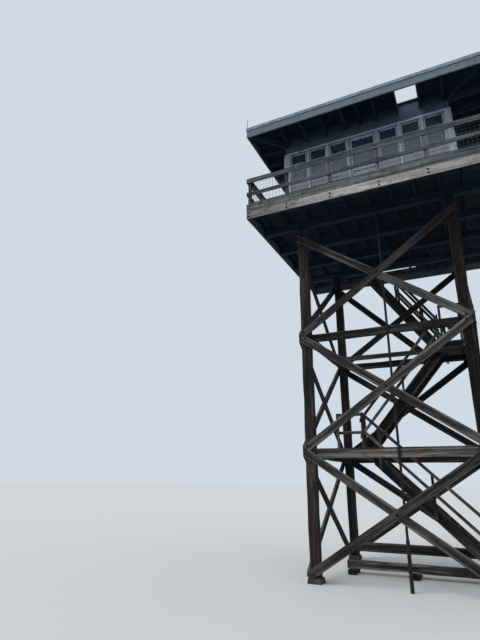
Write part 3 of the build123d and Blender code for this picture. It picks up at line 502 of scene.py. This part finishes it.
BOLT_METAL = metal("bolt_metal", tint(54, 48, 44), tint(36, 32, 30), tint(88, 52, 36),
                   rusted=0.8, rough=0.65)
WIRE_METAL = metal("wire_metal", tint(156, 160, 165), tint(128, 132, 137), tint(110, 82, 62), rusted=0.3)
GLASS = pane("pane_glass")


class Shape:
    """Collects the faces of many bars, with each point's place along its own bar."""

    def __init__(self, name):
        self.name = name
        self.points, self.faces, self.grain, self.half, self.tone, self.shade = [], [], [], [], [], []

    def take(self, mesh, axes, centre, half, tone, shade=1.0):
        """Adds a bmesh whose bar has the given axes, centre and half sizes; shade may follow the point."""
        first = len(self.points)
        mesh.verts.ensure_lookup_table()
        mesh.verts.index_update()
        for v in mesh.verts:
            away = v.co - centre
            self.points.append(tuple(v.co))
            self.grain.append(tuple(away.dot(axis) for axis in axes))
            self.half.append(tuple(half))
            self.tone.append(tone)
            self.shade.append(shade(v.co) if callable(shade) else shade)
        for f in mesh.faces:
            self.faces.append([first + v.index for v in f.verts])

    def piece(self, material, slot, *nodes):
        """Makes the object, riding on the tower, in the place of the given CAD nodes."""
        mesh = bpy.data.meshes.new(self.name)
        mesh.from_pydata(self.points, [], self.faces)
        mesh.validate()
        for name, kind, key, data in (("grain", "FLOAT_VECTOR", "vector", self.grain),
                                      ("half", "FLOAT_VECTOR", "vector", self.half),
                                      ("tone", "FLOAT", "value", self.tone),
                                      ("shade", "FLOAT", "value", self.shade)):
            layer = mesh.attributes.new(name, kind, "POINT")
            flat = [x for row in data for x in row] if kind == "FLOAT_VECTOR" else data
            layer.data.foreach_set(key, flat)
        mesh.materials.append(material)
        piece = bpy.data.objects.new(self.name, mesh)
        bpy.context.scene.collection.objects.link(piece)
        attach(piece, "root")
        if nodes:
            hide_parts(*nodes)


def lowest_corner(group):
    """The lowest corner of a group of faces, to the millimetre."""
    return tuple(round(min(v.co[i] for f in group for v in f.verts), 3) for i in range(3))


def linked_faces(whole):
    """The groups of a bmesh's faces that hang together, in the order of their lowest corners."""
    waiting = dict.fromkeys(whole.faces)
    groups = []
    while waiting:
        group = [next(iter(waiting))]
        del waiting[group[0]]
        for face in group:
            for edge in face.edges:
                if len(edge.link_faces) > 2:
                    continue
                for other in edge.link_faces:
                    if other in waiting:
                        del waiting[other]
                        group.append(other)
        groups.append(group)
    return sorted(groups, key=lowest_corner)


def islands(node):
    """The separate solids of a CAD node, as bmeshes with their flat faces made whole."""
    whole = bmesh.new()
    whole.from_mesh(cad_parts[node].data)
    bmesh.ops.remove_doubles(whole, verts=whole.verts, dist=WELD)
    for group in linked_faces(whole):
        part = bmesh.new()
        twin = {v: part.verts.new(v.co) for v in dict.fromkeys(v for f in group for v in f.verts)}
        for face in group:
            part.faces.new([twin[v] for v in face.verts])
        part.normal_update()
        bmesh.ops.dissolve_limit(part, angle_limit=FLAT_ANGLE, verts=part.verts, edges=part.edges)
        yield part
    whole.free()


def node_boxes(node):
    """The lowest and highest corners of each solid of a CAD node."""
    for part in islands(node):
        low = Vector([min(v.co[i] for v in part.verts) for i in range(3)])
        high = Vector([max(v.co[i] for v in part.verts) for i in range(3)])
        part.free()
        yield low, high


def axes_of(part):
    """A bar's axes along its longest edge, across its broadest face and through it, centre and halves."""
    longest = max(part.edges, key=lambda e: e.calc_length())
    along = (longest.verts[1].co - longest.verts[0].co).normalized()
    if max(along, key=abs) < 0:
        along = -along
    sides = [f for f in part.faces if abs(f.normal.dot(along)) < 0.2]
    through = max(sides, key=lambda f: f.calc_area()).normal.copy()
    through = (through - along * through.dot(along)).normalized()
    across = through.cross(along)
    axes = (along, across, through)
    low = [min(v.co.dot(axis) for v in part.verts) for axis in axes]
    high = [max(v.co.dot(axis) for v in part.verts) for axis in axes]
    centre = sum((axes[i] * (low[i] + high[i]) / 2 for i in range(3)), Vector())
    half = [(high[i] - low[i]) / 2 for i in range(3)]
    return axes, centre, half


def age(shape, part, edge, shade=1.0):
    """Eases a bar's edges, wears them unevenly along its length and adds it to a shape."""
    axes, centre, half = axes_of(part)
    tone = dice.random()
    small = min(half[1], half[2])
    sharp = [e for e in part.edges if e.is_manifold and e.calc_face_angle(0.0) > SHARP_ANGLE]
    bmesh.ops.bevel(part, geom=sharp, offset=min(edge.ease, small * EASE_SHARE), segments=2, profile=0.6,
                    affect="EDGES", clamp_overlap=True)
    count = int(2 * half[0] / edge.pitch)
    for k in range(1, count + 1):
        spot = -half[0] + 2 * half[0] * (k + dice.uniform(-0.25, 0.25)) / (count + 1)
        bmesh.ops.bisect_plane(part, geom=part.verts[:] + part.edges[:] + part.faces[:],
                               plane_co=centre + axes[0] * spot, plane_no=axes[0])

    # Points near a long edge move inwards, by waves and now and then a chip; the ends of the bar stay
    wave_start, chip_start, _ = [dice.uniform(0.0, 6.28) for _ in range(3)]
    for v in part.verts:
        u, a, b = [(v.co - centre).dot(axis) for axis in axes]
        corner = min(abs(a) / half[1], abs(b) / half[2])
        if corner < 0.8 or abs(u) > half[0] - 2 * edge.ease:
            continue
        wave = 0.5 + 0.5 * math.sin(u * WAVER + wave_start + 2.0 * (a > 0) + 4.0 * (b > 0))
        chip = max(0.0, math.sin(u * CHIPS + chip_start + 3.0 * (a > 0) + 5.0 * (b > 0))) ** 6
        depth = min(edge.wear * (wave + 1.5 * chip), WEAR_SHARE * small)
        v.co -= (axes[1] * math.copysign(depth, a) + axes[2] * math.copysign(depth, b)) * 0.7
    shape.take(part, axes, centre, half, tone, shade)
    part.free()


def bar(low, high):
    """A squared bar between two corners, as a bmesh."""
    part = bmesh.new()
    size = Vector(high) - Vector(low)
    middle = (Vector(high) + Vector(low)) / 2
    place = Matrix.Translation(middle) @ Matrix.Diagonal((*size, 1.0))
    bmesh.ops.create_cube(part, size=1.0, matrix=place)
    part.normal_update()
    return part


def boards(shape, low, high, along, stack, width=BOARD, gap=JOINT, edge=BOARD_EDGE, shade=1.0):
    """Fills a box with boards that run along one axis and are laid side by side on another."""
    room = high[stack] - low[stack]
    count = max(1, round(room / width))
    step = room / count
    thin = 3 - along - stack
    for k in range(count):
        a, b = list(low), list(high)
        a[stack] = low[stack] + k * step + gap / 2
        b[stack] = low[stack] + (k + 1) * step - gap / 2
        b[thin] -= dice.uniform(0.0, BOARD_LIFT)
        age(shape, bar(a, b), edge, shade)


def timber(node, material, slot, edge=PLAIN, shade=1.0, apart=None, fade=None):
    """Replaces a CAD node by the same bars, eased and worn; shade may follow a bar's middle.

    Bars whose middle meets the test of apart = (test, material, slot) become a piece of their own.
    A fade is a shade that follows each point along the bars.
    """
    shape = Shape(node + "_worn")
    other = Shape(node + "_apart_worn")
    for part in islands(node):
        middle = axes_of(part)[1]
        dark = shade(middle) if callable(shade) else shade
        age(other if apart and apart[0](middle) else shape, part, edge, fade or dark)
    if apart:
        other.piece(apart[1], apart[2])
    shape.piece(material, slot, node)


def leg_shade(middle):
    """The front left leg is paler than the others, which are darkened as painted shade."""
    return 0.85 if middle.x < 0 and middle.y < 0 else 0.45


def whole_brace(middle):
    """Whether a front brace is the whole bar of its cross, which has its middle in the tower's middle."""
    return abs(middle.x) < NEAR_MIDDLE


def top_brace(middle):
    """Whether a front brace is the whole bar of the top storey, which is browner than the others."""
    return whole_brace(middle) and middle.z > 2 * STOREY


def brace_shade(middle):
    """The front braces are palest in the middle storey; the whole bar of each cross is the darker one."""
    whole, half = BRACE_SHADES[int(middle.z / STOREY)]
    return whole if whole_brace(middle) else half


def pale_girt(middle):
    """Whether a girt is the lower one in front, which is bleached."""
    return middle.y < GIRT_FRONT and middle.z < LEG_MIDDLE


def girt_shade(middle):
    """The girts stay dark but for the bleached one; their darkness is painted shade."""
    return 0.72 if pale_girt(middle) else 0.5


def post_shade(middle):
    """Two of the front railing posts are bleached pale."""
    for place, shade in BLEACHED_POSTS:
        if middle.y < RIM_FRONT and abs(middle.x - place) < NEAR_POST:
            return shade
    return 0.8


def share(value):
    """A value kept between 0 and 1."""
    return min(1.0, max(0.0, value))


def rim_fade(place):
    """The lower rim board in front has bleached least at its left end; the other sides stay duller."""
    if place.y > RIM_FRONT:
        return 0.8
    return RIM_GREY + (1.0 - RIM_GREY) * share((place.x - RIM_PALE_FROM) / RIM_PALE_RUN)


def trim_painted_light(place):
    """The cab's trim boards are paler below the sills: painted light, where the eaves shade them less."""
    return 1.0 + TRIM_PALER * share((SILL_LEVEL - place.z) / TRIM_PALE_RUN)


# Legs, braces and girts
timber("legs", LEG_TIMBER, "leg_timber", LEG_EDGE, leg_shade)
timber("front_braces", BRACE_TIMBER, "grey_timber", BRACE_EDGE, brace_shade,
       apart=(top_brace, LEG_TIMBER, "leg_timber"))
# The back and side braces are darkened as painted shade
timber("back_braces", BRACE_TIMBER, "grey_timber", BRACE_EDGE, 0.4)
timber("left_braces", BRACE_TIMBER, "grey_timber", BRACE_EDGE, 0.55)
timber("right_braces", BRACE_TIMBER, "grey_timber", BRACE_EDGE, 0.5)
timber("girts", BRACE_TIMBER, "grey_timber", GIRT_EDGE, girt_shade,
       apart=(pale_girt, PALE_TIMBER, "pale_timber"))
timber("girt_plank", BRACE_TIMBER, "grey_timber", PLANK_EDGE, 0.55)
timber("girt_packer", BRACE_TIMBER, "grey_timber", shade=0.5)
timber("ground_sill", BRACE_TIMBER, "grey_timber", GROUND_EDGE, 1.2)
timber("sill_bearers", LEG_TIMBER, "leg_timber", GIRT_EDGE, 0.8)

# Under the walkway and round it
timber("deck_girders", SHADE_BLUE_TIMBER, "dark_timber", GIRDER_EDGE)
timber("floor_joists", SHADE_BLUE_TIMBER, "dark_timber", JOIST_EDGE)
timber("lower_rim_boards", PALE_TIMBER, "pale_timber", LOWER_RIM_EDGE, fade=rim_fade)
timber("upper_rim_boards", RIM_TIMBER, "grey_timber", UPPER_RIM_EDGE)

# Railing
timber("railing_posts", GREY_TIMBER, "grey_timber", shade=post_shade)
timber("top_rails", GREY_TIMBER, "grey_timber", shade=0.6)
timber("upper_rails", GREY_TIMBER, "grey_timber", RAIL_EDGE, 1.05)
timber("mid_rails", GREY_TIMBER, "grey_timber", RAIL_EDGE, 0.7)
timber("bottom_rails", GREY_TIMBER, "grey_timber", RAIL_EDGE, 0.6)

# Roof timbers
# The rafters are lightened as painted light under the roof, and the roof blocks darkened as painted shade
# under the eaves
timber("rafters", SHADE_BLUE_TIMBER, "dark_timber", RAIL_EDGE, 1.15)
timber("roof_blocks", EAVE_SHADE_PAINT, "painted_wood", TRIM_EDGE, 0.7)

# Stair
# The stringers are darkened as painted shade
timber("stair_stringers", BRACE_TIMBER, "grey_timber", STRINGER_EDGE, 0.6)
for flight in (1, 2, 3):
    timber(f"flight_{flight}_treads", GREY_TIMBER, "grey_timber", TREAD_EDGE, 0.8)
timber("landing_beams", BRACE_TIMBER, "grey_timber", shade=0.7)
timber("landing_joists", BRACE_TIMBER, "grey_timber", shade=0.55)
timber("stair_posts", BRACE_TIMBER, "grey_timber", STAIR_RAIL_EDGE, 0.8)
timber("stair_rails", BRACE_TIMBER, "grey_timber", STAIR_RAIL_EDGE)

# The cab's painted timber
timber("window_posts", PAINTED_TRIM, "painted_trim", WINDOW_POST_EDGE)
timber("wall_trim", PAINTED_TRIM, "painted_trim", TRIM_EDGE, fade=trim_painted_light)
timber("window_heads", PAINTED_TRIM, "painted_trim", TRIM_EDGE, 1.25)
# The wall bands are darkened as painted shade under the eaves
timber("wall_bands", EAVE_SHADE_PAINT, "painted_wood", TRIM_EDGE, 0.55)
timber("fascia", PAINTED_FASCIA, "painted_fascia", FASCIA_EDGE)


def floor_boards(node, along, stack, material, slot, width=BOARD):
    """Replaces the panels of a floor node by single boards."""
    shape = Shape(node + "_laid")
    for low, high in node_boxes(node):
        boards(shape, low, high, along, stack, width)
    shape.piece(material, slot, node)


def landings():
    """Replaces the landings by boards, which run across the upper one and to the back on the lower one."""
    shape = Shape("landing_boards_laid")
    for low, high in node_boxes("landing_boards"):
        along, stack = (ALONG_X, ALONG_Y) if low.z > LEG_MIDDLE else (ALONG_Y, ALONG_X)
        boards(shape, low, high, along, stack)
    shape.piece(GREY_TIMBER, "grey_timber", "landing_boards")


floor_boards("walkway_boards", ALONG_X, ALONG_Y, GREY_TIMBER, "grey_timber")
floor_boards("cab_floor", ALONG_X, ALONG_Y, SHADE_BLUE_TIMBER, "dark_timber", CAB_BOARD)
floor_boards("ceiling", ALONG_Y, ALONG_X, SHADE_BLUE_TIMBER, "dark_timber", CEILING_BOARD)
landings()


def walls():
    """Replaces each low wall by drop siding outside, boards inside and a core between them."""
    shape = Shape("low_walls_sided")
    for low, high in node_boxes("low_walls"):
        thin, run = (ALONG_X, ALONG_Y) if high.x - low.x < high.y - low.y else (ALONG_Y, ALONG_X)
        outward = 1 if low[thin] + high[thin] > 0 else -1
        face, back = (high[thin], low[thin]) if outward > 0 else (low[thin], high[thin])
        cuts = (face, face - outward * SIDING_T, back + outward * LINING_T, back)
        for k, width in enumerate((SIDING_BOARD, None, LINING_BOARD)):
            a, b = low.copy(), high.copy()
            a[thin], b[thin] = sorted(cuts[k:k + 2])
            if width is None:
                age(shape, bar(a, b), CORE_EDGE)
            else:
                boards(shape, a, b, run, UPWARD, width, WIDE_JOINT, SIDING_EDGE)
    shape.piece(PAINTED_WALL, "painted_wood", "low_walls")


def member(shape, low, high):
    """One squared member of a sash or a door."""
    age(shape, bar(low, high), MEMBER_EDGE)


def ring(shape, low, high, run, side, foot, head):
    """Two uprights as wide as side, with a foot and a head member of those depths butted between them."""
    inner_low, inner_high = low.copy(), high.copy()
    inner_low[run] = low[run] + side
    inner_high[run] = high[run] - side
    upright_high, upright_low = high.copy(), low.copy()
    upright_high[run] = inner_low[run]
    upright_low[run] = inner_high[run]
    member(shape, low, upright_high)
    member(shape, upright_low, high)
    member(shape, inner_low, (inner_high.x, inner_high.y, low.z + foot))
    member(shape, (inner_low.x, inner_low.y, high.z - head), inner_high)


def sashes():
    """Replaces each ring round a fixed pane by its four members."""
    shape = Shape("window_sashes_framed")
    for low, high in node_boxes("window_sashes"):
        run = ALONG_X if high.x - low.x > high.y - low.y else ALONG_Y
        ring(shape, low, high, run, SASH, SASH, SASH)
    shape.piece(PAINTED_TRIM, "painted_trim", "window_sashes")


def knob(spot):
    """A turned knob on the front of the door."""
    shape = Shape("door_knob")
    part = bmesh.new()
    chain = [part.verts.new((radius, 0.0, height)) for radius, height in KNOB_STEM + KNOB_HEAD]
    edges = [part.edges.new(pair) for pair in zip(chain, chain[1:])]
    bmesh.ops.spin(part, geom=chain + edges, cent=(0, 0, 0), axis=(0, 0, 1), angle=math.tau,
                   steps=KNOB_STEPS)
    bmesh.ops.remove_doubles(part, verts=part.verts, dist=KNOB_WELD)
    swing = Matrix.Translation(spot) @ Matrix.Rotation(math.radians(90.0), 4, "X")
    bmesh.ops.transform(part, matrix=swing, verts=part.verts)
    bmesh.ops.recalc_face_normals(part, faces=part.faces)
    shape.take(part, WORLD_AXES, spot, (1, 1, 1), 0.5)
    part.free()
    shape.piece(BOLT_METAL, "steel_pipe")


def door():
    """Replaces the leaf by stiles, rails and a sunk panel with a bead on either face, and adds a knob."""
    shape = Shape("cab_door_framed")
    low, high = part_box("cab_door")
    light_low, light_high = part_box("door_glass")
    stile = light_low.x - low.x
    lock = light_low.z - DOOR_LOCK
    ring(shape, low, high, ALONG_X, stile, DOOR_FOOT, high.z - light_high.z)
    member(shape, (low.x + stile, low.y, lock), (high.x - stile, high.y, light_low.z))
    panel_low = Vector((low.x + stile, low.y + PANEL_SET, low.z + DOOR_FOOT))
    panel_high = Vector((high.x - stile, high.y - PANEL_SET, lock))
    member(shape, panel_low, panel_high)
    for front, back in ((low.y + BEAD_SET, panel_low.y), (panel_high.y, high.y - BEAD_SET)):
        bead_low = Vector((panel_low.x, front, panel_low.z))
        bead_high = Vector((panel_high.x, back, panel_high.z))
        ring(shape, bead_low, bead_high, ALONG_X, BEAD, BEAD, BEAD)
    shape.piece(PAINTED_TRIM, "painted_trim", "cab_door")
    knob(Vector((high.x - stile / 2, low.y, light_low.z - DOOR_LOCK / 2)))


walls()
sashes()
door()


def roof():
    """Replaces the roof's sheets by boards, with lapped rolls of felt on them, cut at the hatch."""
    under = Shape("roof_deck_boards")
    cover = Shape("roof_felt_rolls")
    sheets = list(node_boxes("roof_deck"))
    low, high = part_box("roof_deck")
    top = high.z - FELT_ROOM
    for a, b in sheets:
        b.z = top
        # The roof boards are lightened as painted light under the roof
        boards(under, a, b, ALONG_X, ALONG_Y, ROOF_BOARD, WIDE_JOINT, shade=1.4)

    # A roll on either side of the hatch and whole rolls behind it; every other one laps its neighbours
    behind_low, behind_high = max(sheets, key=lambda sheet: sheet[0].y)
    start = behind_low.y
    count = round((high.y - start) / ROLL_W)
    step = (high.y - start) / count
    rolls = [(low.x, behind_low.x, low.y, start), (behind_high.x, high.x, low.y, start)]
    for k in range(count):
        lap = LAP if k else 0.0
        rolls.append((low.x, high.x, start + k * step - lap, start + (k + 1) * step))
    for k, (left, right, front, back) in enumerate(rolls):
        rise = ROLL_T if k % 2 else 2 * ROLL_T
        corner = (right - FELT_SET, back - FELT_SET, top + rise)
        age(cover, bar((left + FELT_SET, front + FELT_SET, top), corner), FELT_EDGE)
    under.piece(SHADE_BLUE_TIMBER, "dark_timber", "roof_deck")
    cover.piece(FELT, "roofing")


roof()


def disc(shape, centre, normal, radius, thick, sides, turn=0.0):
    """A flat round or hexagonal piece that stands on a surface."""
    part = bmesh.new()
    bmesh.ops.create_cone(part, cap_ends=True, segments=sides, radius1=radius, radius2=radius, depth=thick,
                          matrix=Matrix.Rotation(turn, 4, "Z"))
    rim = [e for e in part.edges if all(v.co.z > 0 for v in e.verts)]
    bmesh.ops.bevel(part, geom=rim, offset=thick * 0.3, segments=1, affect="EDGES")
    swing = normal.to_track_quat("Z", "Y").to_matrix().to_4x4()
    place = Matrix.Translation(centre + normal * thick / 2) @ swing
    bmesh.ops.transform(part, matrix=place, verts=part.verts)
    shape.take(part, WORLD_AXES, centre, (radius, radius, radius), dice.random())
    part.free()


def bolt(shape, centre, normal, size=1.0):
    """A washer with a hexagonal head on it."""
    washer = WASHER_T * size
    disc(shape, centre, normal, WASHER_R * size, washer, WASHER_SIDES)
    turn = dice.uniform(0, 1)
    disc(shape, centre + normal * washer, normal, BOLT_R * size, BOLT_T * size, HEAD_SIDES, turn)


def frame_bolts():
    """Bolts through the ends of the braces, where they lie on the legs, and through their crossings."""
    shape = Shape("brace_bolts")
    leg_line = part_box("girts")[1].x - LEG_REACH
    for node, run, normal in (("front_braces", ALONG_X, (0, -1, 0)), ("back_braces", ALONG_X, (0, 1, 0)),
                              ("left_braces", ALONG_Y, (-1, 0, 0)), ("right_braces", ALONG_Y, (1, 0, 0))):
        normal = Vector(normal)
        for part in islands(node):
            axes, centre, half = axes_of(part)
            part.free()
            face = centre + normal * half[2]
            for side in (-1, 1):
                for inset, across in BRACE_BOLTS:
                    spot = face + axes[0] * side * (half[0] - inset) + axes[1] * across
                    if abs(spot[run]) > leg_line:
                        bolt(shape, spot, normal)
            if half[0] > LONG_HALF:
                bolt(shape, face, normal)
    shape.piece(BOLT_METAL, "steel_pipe")


def rim_bolts():
    """Pairs of bolts through the lower rim board, one above the other, under each railing post."""
    shape = Shape("rim_bolts")
    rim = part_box("lower_rim_boards")[1]
    for low, high in node_boxes("railing_posts"):
        middle = (low + high) / 2
        for axis in (ALONG_X, ALONG_Y):
            if abs(middle[axis]) < rim.x - POST_REACH:
                continue
            normal = Vector((0, 0, 0))
            normal[axis] = math.copysign(1.0, middle[axis])
            for drop in RIM_BOLT_DROPS:
                spot = middle.copy()
                spot[axis] = math.copysign(rim.x, middle[axis])
                spot.z = rim.z - drop
                bolt(shape, spot, normal, RIM_BOLT_SIZE)
    shape.piece(BOLT_METAL, "steel_pipe")


frame_bolts()
rim_bolts()


def wire(shape, a, b):
    """A straight wire between two points."""
    run = b - a
    part = bmesh.new()
    swing = run.normalized().to_track_quat("Z", "Y").to_matrix().to_4x4()
    place = Matrix.Translation((a + b) / 2) @ swing
    bmesh.ops.create_cone(part, cap_ends=True, segments=WIRE_SIDES, radius1=WIRE_R, radius2=WIRE_R,
                          depth=run.length, matrix=place)
    shape.take(part, WORLD_AXES, a, (1, 1, 1), dice.random())
    part.free()


def rail_spot(axis, away, run, z):
    """A point of the mesh, away from the tower's middle on one axis and along the railing on the other."""
    return Vector((away, run, z)) if axis == ALONG_X else Vector((run, away, z))


def rail_mesh():
    """Welded wire mesh on the inner faces of the railing posts, on all four sides of the walkway."""
    shape = Shape("rail_mesh")
    inner = max(low.x for low, high in node_boxes("railing_posts"))
    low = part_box("bottom_rails")[0].z + MESH_FOOT
    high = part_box("top_rails")[0].z - MESH_HEAD
    columns = int(2 * inner / CELL)
    rows = int((high - low) / CELL)
    reach = inner - MESH_END
    for axis in (ALONG_X, ALONG_Y):
        for side in (-1, 1):
            away = side * (inner - WIRE_R)
            for k in range(columns + 1):
                run = (k - columns / 2) * CELL + dice.uniform(-WIRE_STRAY, WIRE_STRAY)
                wire(shape, rail_spot(axis, away, run, low), rail_spot(axis, away, run, high))
            away = side * (inner - 3 * WIRE_R)
            for k in range(rows + 1):
                z = low + FIRST_ROW + k * CELL
                wire(shape, rail_spot(axis, away, -reach, z), rail_spot(axis, away, reach, z))
    shape.piece(WIRE_METAL, "edge_metal")


rail_mesh()

# CAD nodes that keep their shape
for node, material in (("footings", CONCRETE), ("standpipe", PIPE_METAL), ("window_glass", GLASS),
                       ("door_glass", GLASS), ("door_hinges", BOLT_METAL), ("roof_edge_strip", EDGE_METAL),
                       ("lightning_rod", WIRE_METAL)):
    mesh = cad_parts[node].data
    mesh.materials.clear()
    mesh.materials.append(material)


def shown_rays(tree):
    """1 for rays that show something to the camera, also in a mirror or through glass, and 0 for light."""
    path = tree.nodes.new("ShaderNodeLightPath")
    shown = path.outputs["Is Camera Ray"]
    for way in ("Is Transmission Ray", "Is Glossy Ray"):
        either = tree.nodes.new("ShaderNodeMath")
        either.operation = "MAXIMUM"
        tree.links.new(shown, either.inputs[0])
        tree.links.new(path.outputs[way], either.inputs[1])
        shown = either.outputs[0]
    return shown


def stage():
    """A plain pale floor, which sends little light up to the tower."""
    bpy.ops.mesh.primitive_plane_add(size=FLOOR_SIZE, location=(0, 0, 0))
    floor = bpy.context.object
    floor.name = "floor"
    look = Look("floor_pale")
    soft = look.noise(look.position(), 0.3, 2.0)
    pale = look.mix(look.math("MULTIPLY", soft, 0.1), tint(214, 216, 216), tint(196, 198, 198))
    colour = look.mix(shown_rays(look.tree), tint(86, 98, 116), pale)
    look.finish(colour, 0.9, Specular_IOR_Level=0.1)
    floor.data.materials.append(look.mat)


def sky():
    """An even pale sky, shown a little darker and bluer than it lights."""
    world = bpy.data.worlds.new("studio")
    bpy.context.scene.world = world
    world.use_nodes = True
    tree = world.node_tree
    lit = tree.nodes["Background"]
    lit.inputs["Color"].default_value = tint(236, 240, 245)
    lit.inputs["Strength"].default_value = 0.8
    seen = tree.nodes.new("ShaderNodeBackground")
    seen.inputs["Color"].default_value = tint(208, 218, 228)
    seen.inputs["Strength"].default_value = 1.0
    both = tree.nodes.new("ShaderNodeMixShader")
    tree.links.new(shown_rays(tree), both.inputs[0])
    tree.links.new(lit.outputs[0], both.inputs[1])
    tree.links.new(seen.outputs[0], both.inputs[2])
    tree.links.new(both.outputs[0], tree.nodes["World Output"].inputs["Surface"])


def light():
    """One broad soft lamp high in front, to the left."""
    lamp = bpy.data.lights.new("key", "SUN")
    lamp.energy = 1.25
    lamp.angle = math.radians(35.0)
    lamp.color = (1.0, 0.98, 0.95)
    key = bpy.data.objects.new("key", lamp)
    key.visible_glossy = False
    key.rotation_euler = Vector(LAMP_FROM).to_track_quat("Z", "Y").to_euler()
    bpy.context.scene.collection.objects.link(key)


def camera():
    """The camera at the photograph's viewpoint."""
    data = bpy.data.cameras.new("view")
    data.lens = LENS
    data.sensor_width = 36.0
    data.sensor_fit = "AUTO"
    data.clip_end = 500.0
    eye = bpy.data.objects.new("view", data)
    ahead = Vector((math.sin(YAW) * math.cos(PITCH), math.cos(YAW) * math.cos(PITCH), math.sin(PITCH)))
    right = Vector((math.cos(YAW), -math.sin(YAW), 0.0))
    up = right.cross(ahead)
    side = right * math.cos(ROLL) + up * math.sin(ROLL)
    top = up * math.cos(ROLL) - right * math.sin(ROLL)
    turn = Matrix((side, top, -ahead)).transposed().to_4x4()
    eye.matrix_world = Matrix.Translation(EYE) @ turn
    bpy.context.scene.collection.objects.link(eye)
    bpy.context.scene.camera = eye


stage()
sky()
light()
camera()
bpy.context.scene.view_settings.view_transform = "Standard"
